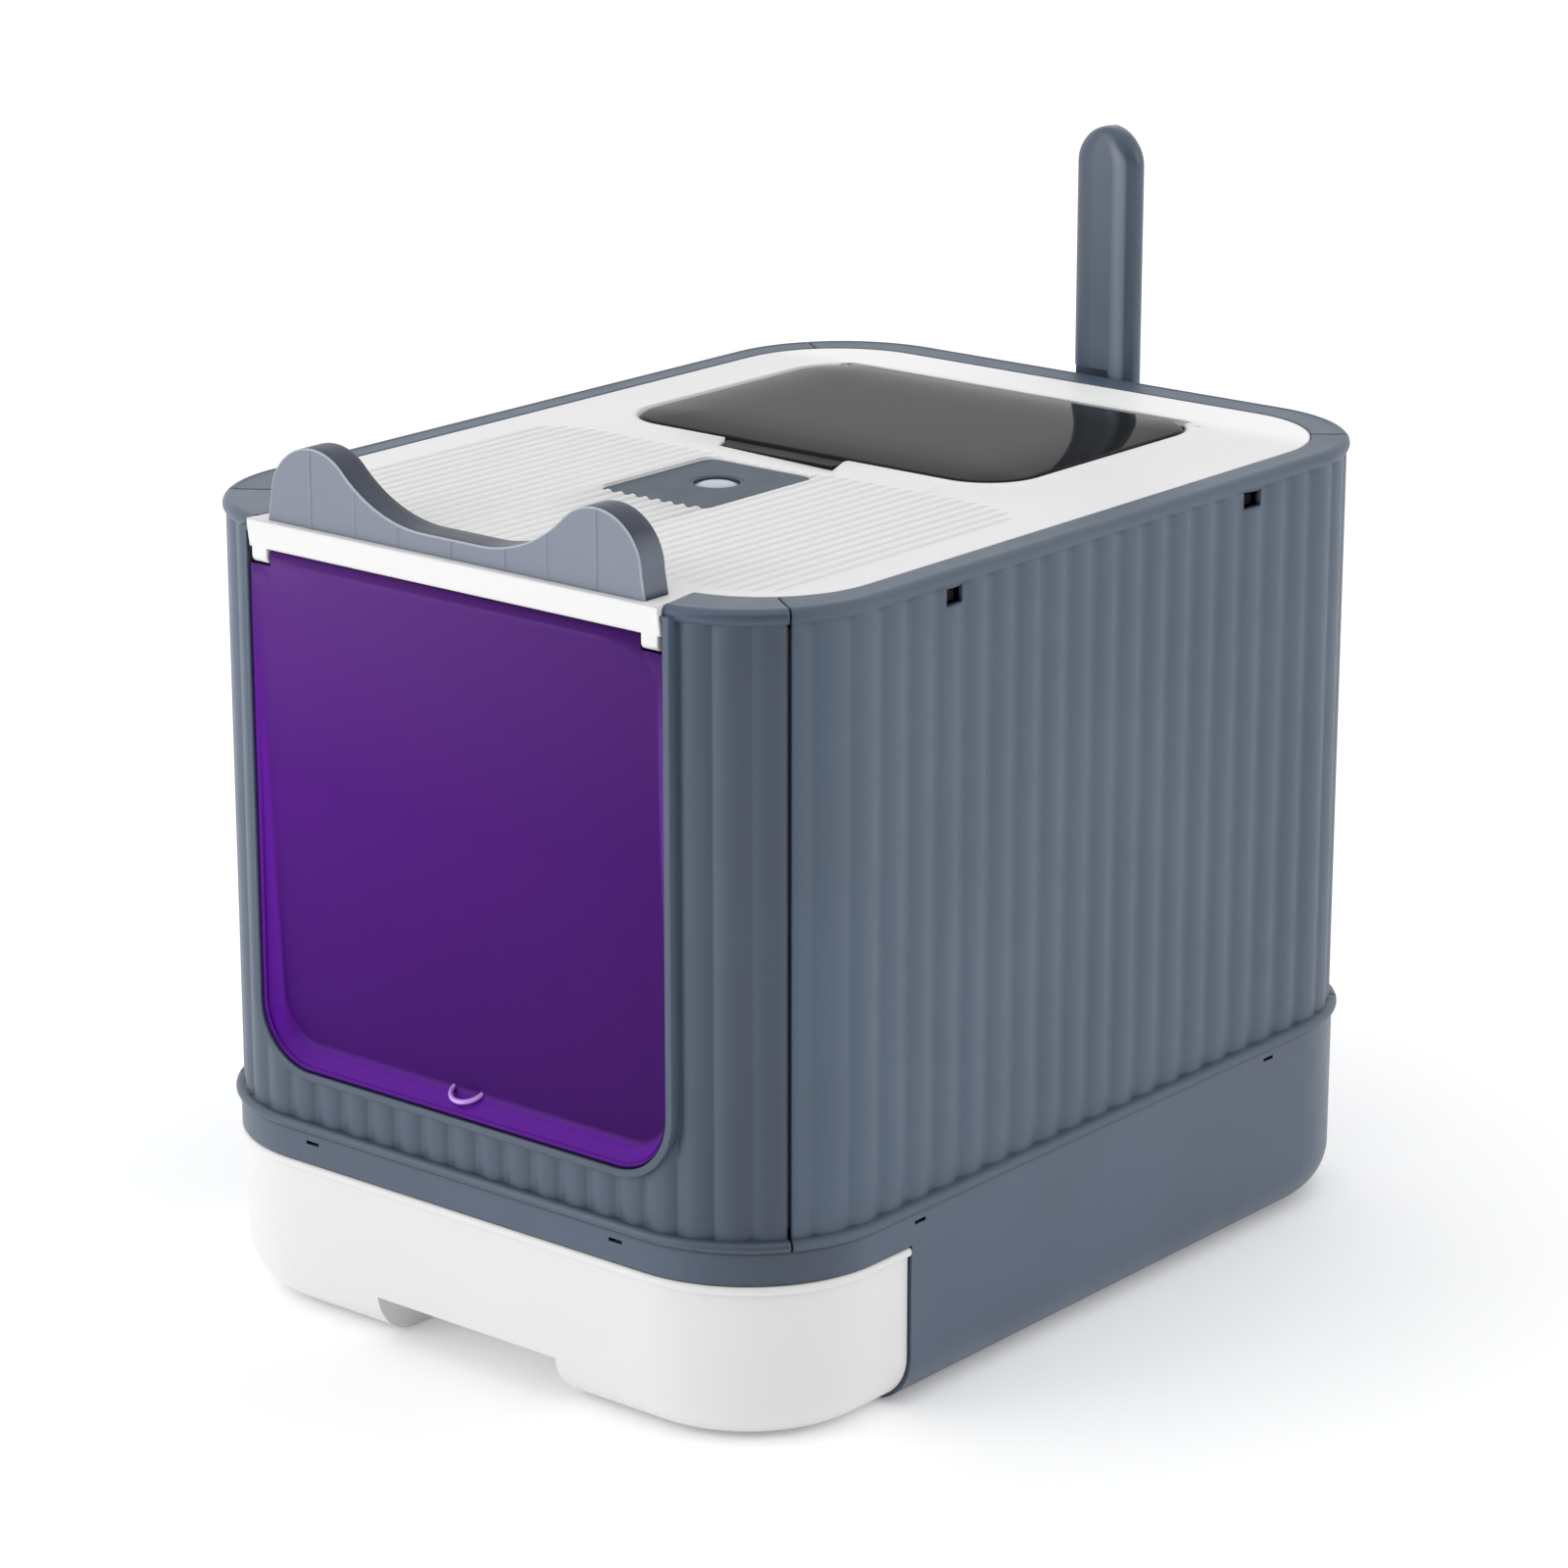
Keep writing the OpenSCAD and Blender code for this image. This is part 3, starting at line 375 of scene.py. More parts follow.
# in metres: points that are joined, and edges that are dissolved
JOIN, SMALL = 1e-6, 1e-7


def to_metres(bm):
    """Scales a mesh in millimetres, joins what coincides and turns its faces outwards."""
    bmesh.ops.scale(bm, vec=(MM, MM, MM), verts=bm.verts)
    bmesh.ops.remove_doubles(bm, verts=bm.verts, dist=JOIN)
    bmesh.ops.dissolve_degenerate(bm, edges=bm.edges, dist=SMALL)
    bmesh.ops.recalc_face_normals(bm, faces=bm.faces)


def add_object(name, bm, materials):
    """Makes an object from a mesh in metres."""
    mesh = bpy.data.meshes.new(name)
    bm.to_mesh(mesh)
    bm.free()
    for material in materials:
        mesh.materials.append(material)
    obj = bpy.data.objects.new(name, mesh)
    scene.collection.objects.link(obj)
    return obj


def stand_for(obj, body, node):
    """Lets an object ride on a body in the place of a node."""
    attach(obj, body)
    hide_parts(node)


def piece(name, bm, materials, body, node):
    """Makes an object from a mesh in millimetres that stands for a node."""
    to_metres(bm)
    obj = add_object(name, bm, materials)
    stand_for(obj, body, node)
    return obj


def smooth_by_angle(mesh, degrees):
    mesh.polygons.foreach_set("use_smooth", [True] * len(mesh.polygons))
    mesh.set_sharp_from_angle(angle=math.radians(degrees))


def ring(bm, points):
    return [bm.verts.new(p) for p in points]


def skin(bm, rings, closed=True, smooth=True, material=0):
    """Quads between neighbouring rings with the same number of points."""
    for a, b in zip(rings, rings[1:]):
        n = len(a)
        for i in range(n if closed else n - 1):
            j = (i + 1) % n
            f = bm.faces.new((a[i], a[j], b[j], b[i]))
            f.smooth = smooth
            f.material_index = material


def cap(bm, verts, smooth=False, material=0):
    f = bm.faces.new(verts)
    f.smooth = smooth
    f.material_index = material


def arc(cx, cz, r, a0, a1, n):
    """Points of an arc in n steps, angles in degrees."""
    turns = [math.radians(a0 + (a1 - a0) * k / n) for k in range(n + 1)]
    return [(cx + r * math.cos(turn), cz + r * math.sin(turn)) for turn in turns]


def circle(r, n):
    """Points of a closed circle about the origin."""
    return arc(0, 0, r, 0, 360 - 360 / n, n - 1)


def round_rect(w, d, r, n=10):
    """Outline of a rectangle with round corners about the origin."""
    out = []
    for sx, sy, a in ((1, 1, 0), (-1, 1, 90), (-1, -1, 180), (1, -1, 270)):
        out += arc(sx * (w / 2 - r), sy * (d / 2 - r), r, a, a + 90, n)
    return out


def side_step(points, i):
    """Unit vector square to a line of points at its point i."""
    x0, z0 = points[max(i - 1, 0)]
    x1, z1 = points[min(i + 1, len(points) - 1)]
    length = math.hypot(x1 - x0, z1 - z0)
    return (z1 - z0) / length, -(x1 - x0) / length


# crest: satin face with fine upright creases, a painted highlight on its round front edge,
# and behind it a band over the top that is painted dark as a painted reflection of a darker
# room above

CREST_Y, CREST_T, CREST_Z, CREST_HALF = -256.0, 17.0, 410.8, 120.0
EAR_X, EAR_Z, EAR_R, EAR_STEPS = 90.0, 11.0, 28.0, 54
VALLEY_Z, VALLEY_R, VALLEY_STEPS = 9.4, 75.0, 20
# how far the ends of the crest lean in up to half the height of the ears
END_LEAN = 0.9
CREASES = (-91.0, -62.0, -34.0, 0.0, 34.0, 60.0, 91.0)
CREASE_W, CREASE_D = 1.3, 0.45
# round edge: its size, and its steps inwards and back as shares of it
CREST_EDGE = 0.8
CREST_ROUND = ((1.0, 0.0), (0.55, 0.12), (0.2, 0.42), (0.0, 1.0))
# rows of the band, as shares of the crest's thickness
BAND_ROWS = (0.35, 0.7)
# material slots: face, band with its painted dark reflection, edge with its painted highlight
FACE, BAND, RIM = 0, 1, 2


def crest_outline():
    """Line from the left foot over both ears to the right foot, above CREST_Z."""
    drop = VALLEY_Z + VALLEY_R - EAR_Z
    reach = EAR_R + VALLEY_R
    run = math.sqrt(reach * reach - drop * drop)
    lean = math.degrees(math.atan2(drop, run))
    half = [(-CREST_HALF, 0.0), (-CREST_HALF + END_LEAN, EAR_Z * 0.5)]
    half += arc(-EAR_X, EAR_Z, EAR_R, 180, lean, EAR_STEPS)
    half += arc(-EAR_X + run, VALLEY_Z + VALLEY_R, VALLEY_R, 180 + lean, 270,
                VALLEY_STEPS)[1:]
    line = half + [(-x, z) for x, z in reversed(half)]
    # extra points at both sides and in the middle of each crease
    marks = [c + k for c in CREASES for k in (-CREASE_W, 0, CREASE_W)]
    out = [line[0]]
    for a, b in zip(line, line[1:]):
        out += [(c, a[1] + (b[1] - a[1]) * (c - a[0]) / (b[0] - a[0]))
                for c in sorted(marks) if a[0] < c < b[0]]
        out.append(b)
    return out


def crest():
    line = crest_outline()
    # the feet move straight inwards
    ends = {0: (1, 0), len(line) - 1: (-1, 0)}

    def loop(y, inset=0.0, relief=lambda x: 0.0):
        """The outline, moved inwards, at a depth y; relief raises it from there."""
        out = []
        for i, (x, z) in enumerate(line):
            nx, nz = ends.get(i) or side_step(line, i)
            x, z = x + nx * inset, max(z + nz * inset, 0)
            out.append((x, y - relief(x), CREST_Z + z))
        return ring(bm, out)

    def crease(x):
        return CREASE_D * max(0.0, 1 - min(abs(x - c) for c in CREASES) / CREASE_W)

    bm = bmesh.new()
    back_y = CREST_Y + CREST_T
    steps = [(inset * CREST_EDGE, back * CREST_EDGE) for inset, back in CREST_ROUND]
    front = [loop(CREST_Y, CREST_EDGE, crease)]
    front += [loop(CREST_Y + back, inset) for inset, back in steps[1:]]
    skin(bm, front, closed=False, material=RIM)
    band = [front[-1]]
    band += [loop(CREST_Y + share * CREST_T) for share in BAND_ROWS]
    band.append(loop(back_y - CREST_EDGE))
    skin(bm, band, closed=False, material=BAND)
    rear = [band[-1]] + [loop(back_y - back, inset) for inset, back in reversed(steps[:-1])]
    skin(bm, rear, closed=False, material=BAND)
    # upright strips of the face and the back, down to the foot
    for top, material in ((front[0], FACE), (rear[-1], BAND)):
        foot = ring(bm, [(v.co.x, v.co.y, CREST_Z) for v in top])
        skin(bm, [foot, top], closed=False, smooth=False, material=material)
    shell = piece("crest_shell", bm, [M_SATIN, M_BAND, M_RIM], "box", "cat_ear_crest")
    close_foot(shell.data)


def close_foot(mesh):
    """Fills the open edge loop at the foot of a mesh."""
    bm = bmesh.new()
    bm.from_mesh(mesh)
    open_edges = [e for e in bm.edges if e.is_boundary]
    bmesh.ops.holes_fill(bm, edges=open_edges, sides=0)
    bmesh.ops.recalc_face_normals(bm, faces=bm.faces)
    bm.to_mesh(mesh)
    bm.free()


crest()


# lid: two small corrections on a copy of its mesh

LID_JOIN = 2e-7
LID_SMOOTH = 28
# ribs inside this box run out at its height: x, y, height
RIBS_X, RIBS_Y, RIBS_Z = (-44.0, 32.0), (-23.0, -5.0), 410.6
# the header in front of HEADER_Y and above HEADER_Z steps forward
HEADER_Y, HEADER_Z, HEADER_STEP = -257.9, 402.0, 1.6


def lid_top():
    """Lid whose ribs run out before the small unit, and whose header covers the lip."""
    bm = bmesh.new()
    bm.from_mesh(NODES["lid"].data)
    bm.transform(NODES["lid"].matrix_world)
    bmesh.ops.remove_doubles(bm, verts=bm.verts, dist=LID_JOIN)
    lid = add_object("lid_top", bm, [M_LID])
    stand_for(lid, "box", "lid")
    for v in lid.data.vertices:
        x, y, z = v.co / MM
        if RIBS_X[0] < x < RIBS_X[1] and RIBS_Y[0] < y < RIBS_Y[1] and z > RIBS_Z:
            v.co.z = RIBS_Z * MM
        if y < HEADER_Y and z > HEADER_Z:
            v.co.y -= HEADER_STEP * MM
    smooth_by_angle(lid.data, LID_SMOOTH)


lid_top()


# door: one tinted sheet that leans back into a dish, with a half-ring pull at its foot

DOOR_HALF, DOOR_R, DOOR_R_MIN, DOOR_T = 132.1, 31.6, 4.0, 2.4
DOOR_Y, DOOR_Z0, DOOR_TOP, DOOR_MIDDLE = -257.3, 133.2, 387.7, 260.0
DOOR_ROWS, CORNER_STEPS, FOOT_STEPS, DOOR_COLS = 18, 15, 7, 14
# points whose heights differ by less lie on one level
LEVEL = 1e-4
HINGE_Y, HINGE_Z, HINGE_R, HINGE_HALF, HINGE_POINTS = -254.0, 392.5, 3.5, 118.2, 24
# depth of the dish at its top and its foot
DISH_TOP, DISH_FOOT = 0.2, 10.5
# rim and wall of the dish: inset at the sides, inset at the foot, share of the dish's
# depth, and what lies behind the face
DOOR_PROFILE = ((0, 0, 0.0, 1.4), (0.1, 0.1, 0.0, 0.5), (0.5, 0.5, 0.0, 0.0),
                (1.0, 1.5, 0.07, 0.0), (1.6, 2.6, 0.19, 0.0), (2.2, 3.8, 0.34, 0.0),
                (2.9, 5.2, 0.51, 0.0), (3.6, 6.7, 0.68, 0.0), (4.4, 8.2, 0.83, 0.0),
                (5.2, 9.8, 0.93, 0.0), (6.0, 11.2, 0.985, 0.0), (6.8, 12.4, 1.0, 0.0))
PULL_X, PULL_R, PULL_OUT, PULL_STEPS = -3.5, 9.2, 8.2, 24
PULL_WIRE, WIRE_POINTS, PULL_LEAN = 1.3, 12, 0.45
# the pull's height over the foot of the door, and its gap to the face
PULL_RISE, PULL_GAP = 7.2, 1.0
# material slots
SHEET, GLINT = 0, 1


def door_outline(inset_side, inset_foot):
    """Down the left side, round the foot and up the right side."""
    half = DOOR_HALF - inset_side
    z0 = DOOR_Z0 + inset_foot
    r = max(DOOR_R - (inset_side + inset_foot) / 2, DOOR_R_MIN)
    left = [(-half, DOOR_TOP + (z0 + r - DOOR_TOP) * k / DOOR_ROWS) for k in range(DOOR_ROWS)]
    left += arc(-half + r, z0 + r, r, 180, 270, CORNER_STEPS)
    left += [(-half + r + (half - r) * k / FOOT_STEPS, z0) for k in range(1, FOOT_STEPS + 1)]
    return left + [(-x, z) for x, z in reversed(left[:-1])]


def door_face(bm):
    """Rim, dish and the strip up to the hinge, without thickness."""
    rings = []
    for side, foot, share, behind in DOOR_PROFILE:
        points = []
        for x, z in door_outline(side, foot):
            fall = (DOOR_TOP - z) / (DOOR_TOP - DOOR_Z0)
            depth = DISH_TOP + (DISH_FOOT - DISH_TOP) * fall
            points.append((x, DOOR_Y + behind + share * depth, z))
        rings.append(ring(bm, points))
    skin(bm, rings, closed=False)
    # sheet: rows between the left and the right side, down to the foot
    last = rings[-1]
    n, half = len(last), len(last) // 2
    foot_row = next(i for i in range(half) if abs(last[i].co.z - last[half].co.z) < LEVEL)
    rows = []
    for i in range(foot_row + 1):
        a, b = last[i], last[n - 1 - i]
        xs = [a.co.x + (b.co.x - a.co.x) * k / DOOR_COLS for k in range(1, DOOR_COLS)]
        # outer columns spread towards the ends of the hinge as they rise
        spread = (1 - i / half) * (HINGE_HALF - b.co.x * (1 - 2 / DOOR_COLS))
        xs[0] -= spread
        xs[-1] += spread
        rows.append([a] + ring(bm, [(x, a.co.y, a.co.z) for x in xs]) + [b])
    skin(bm, rows, closed=False)
    # the lowest row lies along the foot and takes in the points there
    for v in rows[-1][1:-1]:
        near = min(last[foot_row:n - foot_row], key=lambda w: abs(w.co.x - v.co.x))
        v.co.x, v.co.z = near.co.x, near.co.z
    lower = rows[0][1:-1]
    upper = ring(bm, [(v.co.x, HINGE_Y - HINGE_R, HINGE_Z) for v in lower])
    skin(bm, [lower, upper], closed=False)
    to_metres(bm)
    # the face looks forward, so that the thickness goes behind it
    centre = Vector((0, DOOR_Y, DOOR_MIDDLE)) * MM
    middle = min(bm.faces, key=lambda f: (f.calc_center_median() - centre).length)
    if middle.normal.y > 0:
        bmesh.ops.reverse_faces(bm, faces=bm.faces)


def door_roll(bm):
    """Hinge roll along the top, in metres."""
    roll = [ring(bm, [(x * MM, (HINGE_Y + y) * MM, (HINGE_Z + z) * MM)
                      for y, z in circle(HINGE_R, HINGE_POINTS)])
            for x in (-HINGE_HALF, HINGE_HALF)]
    skin(bm, roll, material=SHEET)
    for end in roll:
        cap(bm, end, material=SHEET)


def door_pull(bm):
    """Half-ring pull at the foot, in metres."""
    centre_y = DOOR_Y + PULL_GAP + PULL_WIRE
    path = [(PULL_X - c * PULL_R, centre_y + PULL_OUT * (1 - s))
            for c, s in arc(0, 0, 1, 0, 180, PULL_STEPS)]
    loops = []
    for i, (x, y) in enumerate(path):
        nx, ny = side_step(path, i)
        z = DOOR_Z0 + PULL_RISE + PULL_LEAN * (y - centre_y)
        loops.append(ring(bm, [((x + nx * u) * MM, (y + ny * u) * MM, (z + w) * MM)
                               for u, w in circle(PULL_WIRE, WIRE_POINTS)]))
    # the whole pull takes the painted glint colour
    skin(bm, loops, material=GLINT)
    for end in (loops[0], loops[-1]):
        cap(bm, end, material=GLINT)
    bmesh.ops.recalc_face_normals(bm, faces=[f for f in bm.faces if f.material_index == GLINT])


def door():
    bm = bmesh.new()
    door_face(bm)
    sheet = add_object("door_sheet", bm, [M_PURPLE, M_GLINT])
    thick = sheet.modifiers.new("thick", "SOLIDIFY")
    thick.thickness, thick.offset = DOOR_T * MM, -1.0
    thick.use_even_offset = False
    bpy.context.view_layer.update()
    done = sheet.evaluated_get(bpy.context.evaluated_depsgraph_get())
    result = bpy.data.meshes.new_from_object(done)
    sheet.modifiers.clear()
    bm = bmesh.new()
    bm.from_mesh(result)
    door_roll(bm)
    door_pull(bm)
    bm.to_mesh(result)
    bm.free()
    sheet.data = result
    stand_for(sheet, "door", "door_flap")


door()


# roof flap: a shallow crown over rounded edges, hollow below

WIN_X, WIN_Y0, WIN_Y1 = -5.0, 7.0, 185.0
WIN_W, WIN_R, WIN_R_MIN = 250.0, 30.0, 6.0
WIN_Z, WIN_TOP, WIN_SHELL = 409.4, 415.4, 2.6
# round edge, its angles, and how far it lies below the solid's top
WIN_EDGE, EDGE_ANGLES, WIN_SINK = 3.5, (20, 40, 60, 78), 1.3
# crown: its height, its run from the edge inwards and the rings along that run
WIN_CROWN, WIN_RUN, CROWN_POWER = 1.7, 70.0, 4
CROWN_RINGS = (WIN_EDGE, 5, 7, 9.5, 12.5, 16, 20, 25, 31, 38, 46, 54, 62, WIN_RUN)
# hollow below: thickness of the wall in front and at the sides, and at the rear
WIN_WALL, WIN_REAR = 7.0, 27.0
# small cuts: at the outer foot inwards and up, at the hollow's mouth and at its ceiling
FOOT_IN, FOOT_UP, MOUTH_CUT, CEILING_CUT = 0.5, 0.4, 0.6, 1.0


def window():
    bm = bmesh.new()
    cy, d = (WIN_Y0 + WIN_Y1) / 2, WIN_Y1 - WIN_Y0
    edge_top = WIN_TOP - WIN_SINK

    def loop(b, z):
        pts = round_rect(WIN_W - 2 * b, d - 2 * b, max(WIN_R - b, WIN_R_MIN))
        return ring(bm, [(WIN_X + x, cy + y, z) for x, y in pts])

    def hollow(b, z):
        pts = round_rect(WIN_W - 2 * WIN_WALL - 2 * b, d - WIN_WALL - WIN_REAR - 2 * b,
                         WIN_R - WIN_WALL - b)
        shift = (WIN_REAR - WIN_WALL) / 2
        return ring(bm, [(WIN_X + x, cy - shift + y, z) for x, y in pts])

    rings = [loop(0, WIN_Z + FOOT_UP), loop(0, edge_top - WIN_EDGE)]
    for k in map(math.radians, EDGE_ANGLES):
        rings.append(loop(WIN_EDGE * (1 - math.cos(k)), edge_top - WIN_EDGE * (1 - math.sin(k))))
    for b in CROWN_RINGS:
        t = (b - WIN_EDGE) / (WIN_RUN - WIN_EDGE)
        rings.append(loop(b, edge_top + WIN_CROWN * (1 - (1 - t) ** CROWN_POWER)))
    skin(bm, rings)
    cap(bm, rings[-1], smooth=True)
    ceiling = WIN_TOP - WIN_SHELL
    under = [rings[0], loop(FOOT_IN, WIN_Z), hollow(-MOUTH_CUT, WIN_Z),
             hollow(0, WIN_Z + MOUTH_CUT), hollow(0, ceiling - CEILING_CUT),
             hollow(CEILING_CUT, ceiling)]
    skin(bm, under, smooth=False)
    cap(bm, under[-1])
    piece("window_glass", bm, [M_SMOKED], "window", "window_flap")


window()


# button: low dome with a wide shoulder, set down in its ring

BUTTON_X, BUTTON_Y, BUTTON_POINTS, BUTTON_SMOOTH = -5.0, -58.5, 60, 50
# radius and height, from the foot of the stem up to the middle of the dome
BUTTON_SHAPE = ((3.0, 403.7), (3.0, 408.0), (11.5, 408.0), (11.5, 408.3), (10.6, 408.5),
                (9.4, 408.9), (8.7, 409.3), (8.2, 409.5), (7.4, 409.6), (4.0, 409.75))


def button():
    bm = bmesh.new()
    loops = [ring(bm, [(BUTTON_X + x, BUTTON_Y + y, z) for x, y in circle(r, BUTTON_POINTS)])
             for r, z in BUTTON_SHAPE]
    skin(bm, loops)
    for end in (loops[0], loops[-1]):
        cap(bm, end, smooth=True)
    dome = piece("button_dome", bm, [M_BUTTON], "button", "module_button")
    smooth_by_angle(dome.data, BUTTON_SMOOTH)


button()


# scoop: handle with soft edges and a round end, slotted tray below

SCOOP_X, SCOOP_Y, SCOOP_SMOOTH = -4.0, 267.3, 40
HANDLE_W, HANDLE_T, SCOOP_TOP, HANDLE_FOOT, NECK_Z = 40.6, 16.5, 545.0, 398.0, 366.0
# corner round of the handle along y and along x; a section with a smaller round than
# SHARP_R keeps it along x too
HANDLE_R, HANDLE_RX, SHARP_R = 7.6, 13.0, 4.5
# flat that is left on a section, and the largest share of its half width that is round
FLAT_MIN, ROUND_SHARE = 0.2, 0.8
HANDLE_ROWS = (430, 460, 490)
# the round end: its angles, how much it thins to a soft ridge, its last half width, and
# how far below it the last plain section lies
DOME_ANGLES, DOME_THIN, DOME_POWER, DOME_TIP = range(6, 90, 6), 0.55, 2.4, 1.2
DOME_LEAD = 6
BLADE_W, BLADE_T, BLADE_Z0, BLADE_Z1, BLADE_SIDE = 112.0, 2.4, 262.0, 363.0, 20.0
BLADE_Y = SCOOP_Y - 4
# slots: half width, nearly none where there is none, spacing, and number on each side
SLOT_R, SLOT_NONE, SLOT_PITCH, SLOTS = 2.5, 0.3, 9.0, 5
SLOT_Z0, SLOT_Z1, SLOT_FOOT, SLOT_HEAD = 282.0, 347.0, (35, 65, 90), (0, 25, 55)
# edges of the tray's sides: their round and where it bends, as a share of it
WALL_ROUND, WALL_BEND = 0.8, 0.3
# neck: half width, front and rear from SCOOP_Y, corner round and height
NECK = ((BLADE_W / 2 - 6, -4, 2, 1.0, BLADE_Z1 - 1),
        (BLADE_W / 2 - 12, -4, 2, 2.0, NECK_Z + 5),
        (HANDLE_W / 2 + 10, -5, 3, 3.0, NECK_Z + 20),
        (HANDLE_W / 2 + 2, -7, 5, 4.0, HANDLE_FOOT - 4))
# open foot of the handle's shell: height and depth of the cut, left of HOLLOW_X
HOLLOW_X = 6.0
HOLLOW = ((403.5, 0.0), (404.0, 6.5), (412.9, 6.5), (413.6, 0.0), (414.4, 0.0))
# points at both ends of a section's front face, and the steps between them
CORNER_POINTS, FRONT_POINT, FRONT_STEPS = 6, 20, 12


def section(bm, half_w, y0, y1, r, z, cut=0.0):
    """Level ring of the handle or the neck, with its front cut back left of HOLLOW_X."""
    r = min(r, half_w - FLAT_MIN, (y1 - y0) / 2 - FLAT_MIN)
    pts = round_rect(2 * half_w, y1 - y0, r, CORNER_POINTS)
    wide = min(HANDLE_RX, half_w * ROUND_SHARE)
    if r > SHARP_R and wide > r:
        # stretch the corners along x
        pts = [(math.copysign(half_w - (half_w - abs(x)) * wide / r, x)
                if abs(x) > half_w - r - TINY else x, y) for x, y in pts]
    # points along the front face, which the hollow at its foot needs
    a, b = pts[FRONT_POINT:FRONT_POINT + 2]
    pts[FRONT_POINT + 1:FRONT_POINT + 1] = [
        (a[0] + (b[0] - a[0]) * k / FRONT_STEPS, a[1]) for k in range(1, FRONT_STEPS)]
    pts = [(x, max(y, (y0 - y1) / 2 + cut) if x < HOLLOW_X else y) for x, y in pts]
    return ring(bm, [(SCOOP_X + x, SCOOP_Y + (y0 + y1) / 2 + y, z) for x, y in pts])


def handle(bm):
    """Neck, handle and its round end."""
    half, thick = HANDLE_W / 2, HANDLE_T / 2
    dome = SCOOP_TOP - half
    rings = [section(bm, *row) for row in NECK]
    for z, cut in ((HANDLE_FOOT + 4, 0.0),) + HOLLOW:
        rings.append(section(bm, half, -thick, thick, HANDLE_R, z, cut))
    for z in HANDLE_ROWS + (dome - DOME_LEAD, dome):
        rings.append(section(bm, half, -thick, thick, HANDLE_R, z))
    for angle in DOME_ANGLES:
        k = math.radians(angle)
        slim = thick * (1 - DOME_THIN * (angle / 90) ** DOME_POWER)
        rings.append(section(bm, max(half * math.cos(k), DOME_TIP), -slim, slim, HANDLE_R,
                             dome + half * math.sin(k)))
    skin(bm, rings)
    cap(bm, rings[0])
    cap(bm, rings[-1], smooth=True)


def slot_half(z):
    """Half width of a slot at a height."""
    off = max(SLOT_Z0 - z, z - SLOT_Z1, 0.0)
    return max(math.sqrt(max(SLOT_R * SLOT_R - off * off, 0.0)), SLOT_NONE)


def slotted_plate(bm):
    """Floor of the tray: a grid on each face, left open at the slots."""
    zs = [BLADE_Z0, SLOT_Z0 - SLOT_R]
    zs += [SLOT_Z0 - SLOT_R * math.cos(math.radians(a)) for a in SLOT_FOOT]
    zs += [SLOT_Z1 + SLOT_R * math.sin(math.radians(a)) for a in SLOT_HEAD]
    zs += [SLOT_Z1 + SLOT_R, BLADE_Z1]
    faces = []
    for y in (BLADE_Y, BLADE_Y + BLADE_T):
        rows = []
        for z in zs:
            cuts = [k * SLOT_PITCH + side * slot_half(z)
                    for k in range(-SLOTS, SLOTS + 1) for side in (-1, 1)]
            rows.append(ring(bm, [(SCOOP_X + x, y, z)
                                  for x in (-BLADE_W / 2, *cuts, BLADE_W / 2)]))
        faces.append(rows)
    front, rear = faces
    last, end = len(zs) - 1, len(front[0]) - 1

    def edge(row, col, next_row, next_col):
        """Face through the thickness of the plate."""
        bm.faces.new((front[row][col], front[next_row][next_col],
                      rear[next_row][next_col], rear[row][col]))

    for row in range(last):
        for col in range(end):
            if col % 2 and 1 <= row < last - 1:
                edge(row, col, row + 1, col)
                edge(row, col + 1, row + 1, col + 1)
                continue
            for grid in faces:
                bm.faces.new((grid[row][col], grid[row][col + 1],
                              grid[row + 1][col + 1], grid[row + 1][col]))
        for col in (0, end):
            edge(row, col, row + 1, col)
    for row, cols in ((0, range(end)), (1, range(1, end, 2)), (last - 1, range(1, end, 2)),
                      (last, range(end))):
        for col in cols:
            edge(row, col, row, col + 1)


def wall(bm, x0, x1, y0, y1, z0, z1):
    """Plate of the tray with a small round along its edges."""
    r = min(WALL_ROUND, (x1 - x0) / 3, (y1 - y0) / 3)
    loops = []
    bend = r * WALL_BEND
    for inset, z in ((r, z0), (bend, z0 + bend), (0, z0 + r), (0, z1 - r),
                     (bend, z1 - bend), (r, z1)):
        pts = round_rect(x1 - x0 - 2 * inset, y1 - y0 - 2 * inset, r * 0.9, 3)
        loops.append(ring(bm, [(SCOOP_X + (x0 + x1) / 2 + x, (y0 + y1) / 2 + y, z)
                               for x, y in pts]))
    skin(bm, loops)
    cap(bm, loops[0])
    cap(bm, loops[-1])


def scoop():
    bm = bmesh.new()
    handle(bm)
    slotted_plate(bm)
    half = BLADE_W / 2
    for x in (-half, half - BLADE_T):
        wall(bm, x, x + BLADE_T, BLADE_Y + BLADE_T, BLADE_Y + BLADE_SIDE, BLADE_Z0, BLADE_Z1)
    wall(bm, -half, half, BLADE_Y, BLADE_Y + BLADE_SIDE, BLADE_Z1, BLADE_Z1 + BLADE_T)
    body = piece("scoop_body", bm, [M_HANDLE], "scoop", "scoop")
    smooth_by_angle(body.data, SCOOP_SMOOTH)


scoop()


# stage, light and camera

FLOOR_SIZE, FLOOR_GLOW = 12.0, 0.17
FLOOR_GREYS = (0.93, 0.93, 0.93, 1), (0.95, 0.95, 0.95, 1)
# white room, dimmer round the direction that the nearest corner of the box faces: the
# cosines where the dimming starts and is full, and the strengths there
DIM_AZ, DIM_EL = 44, -6
DIM = (0.40, 0.95, 1.05, 0.0)
CAMERA_AZ, CAMERA_EL, CAMERA_DISTANCE = 39.615, 16.985, 2623.22
CAMERA_AIM = (-7.698, -3.003, 240.194)
CAMERA_LENS, CAMERA_SENSOR, CAMERA_CLIP = 117.374, 36.0, (0.05, 60.0)


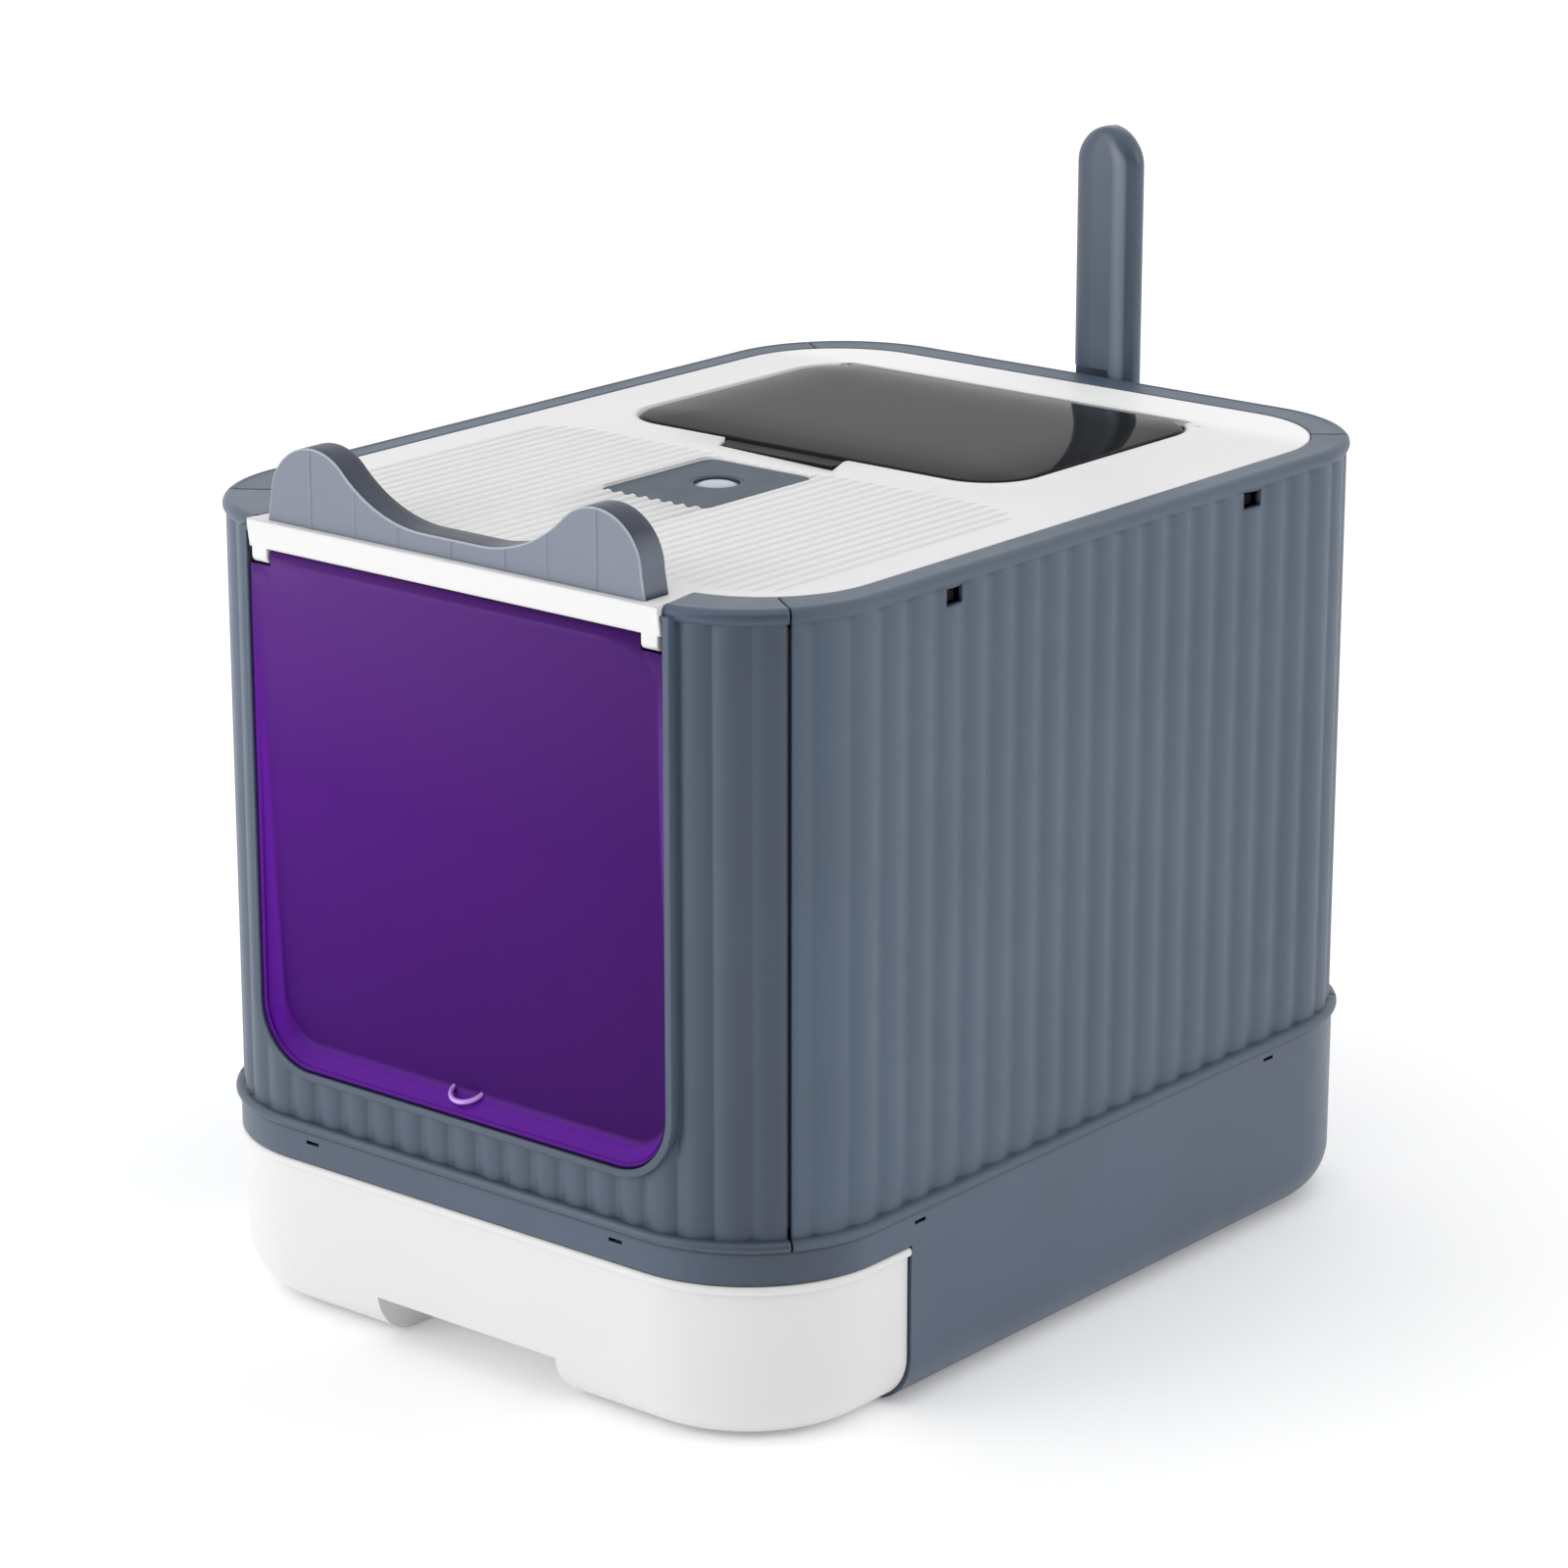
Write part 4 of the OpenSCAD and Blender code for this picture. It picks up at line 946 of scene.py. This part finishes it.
def direction(azimuth, elevation):
    """Unit vector, turned to the right of -Y and upwards by degrees."""
    az, el = math.radians(azimuth), math.radians(elevation)
    return Vector((math.sin(az) * math.cos(el), -math.cos(az) * math.cos(el), math.sin(el)))


def stage_floor():
    g = Graph.new("floor")
    g.set(Base_Color=g.mix(g.ramp(g.noise(2.0), 0.3, 0.7), *FLOOR_GREYS), Roughness=0.9,
          Specular_IOR_Level=0.1, Emission_Color=WHITE, Emission_Strength=FLOOR_GLOW)
    bm = bmesh.new()
    bmesh.ops.create_grid(bm, x_segments=2, y_segments=2, size=FLOOR_SIZE)
    add_object("floor", bm, [g.mat])


def studio():
    world = bpy.data.worlds.new("studio")
    scene.world = world
    world.use_nodes = True
    tree = world.node_tree
    sky = tree.nodes["Background"]
    sky.inputs["Color"].default_value = WHITE
    where = tree.nodes.new("ShaderNodeTexCoord")
    turn = tree.nodes.new("ShaderNodeVectorMath")
    turn.operation = "DOT_PRODUCT"
    turn.inputs[1].default_value = direction(DIM_AZ, DIM_EL)
    tree.links.new(where.outputs["Generated"], turn.inputs[0])
    level = tree.nodes.new("ShaderNodeMapRange")
    level.interpolation_type = "SMOOTHSTEP"
    for key, value in zip(RANGE, DIM):
        level.inputs[key].default_value = value
    tree.links.new(turn.outputs["Value"], level.inputs["Value"])
    tree.links.new(level.outputs[0], sky.inputs["Strength"])


def area_light(name, at, aim, size, power):
    """Square lamp of a size in metres."""
    data = bpy.data.lights.new(name, "AREA")
    data.shape = "RECTANGLE"
    data.size = data.size_y = size
    data.energy = power
    lamp = bpy.data.objects.new(name, data)
    lamp.location = at
    lamp.rotation_mode = "QUATERNION"
    lamp.rotation_quaternion = (Vector(aim) - Vector(at)).to_track_quat("-Z", "Y")
    scene.collection.objects.link(lamp)


def photo_camera():
    """Camera that was fitted to the photograph."""
    back = direction(CAMERA_AZ, CAMERA_EL)
    data = bpy.data.cameras.new("camera")
    data.lens, data.sensor_width = CAMERA_LENS, CAMERA_SENSOR
    data.clip_start, data.clip_end = CAMERA_CLIP
    camera = bpy.data.objects.new("camera", data)
    camera.location = Vector(CAMERA_AIM) * MM + back * (CAMERA_DISTANCE * MM)
    camera.rotation_mode = "QUATERNION"
    camera.rotation_quaternion = (-back).to_track_quat("-Z", "Y")
    scene.collection.objects.link(camera)
    scene.camera = camera


stage_floor()
studio()
area_light("side", (2.6, 0.6, 1.4), (0, 0, 0.2), 1.6, 10)
area_light("front", (-1.3, -2.5, 0.9), (0, 0, 0.25), 1.6, 20)
photo_camera()
scene.view_settings.view_transform = "Standard"

bpy.context.view_layer.update()
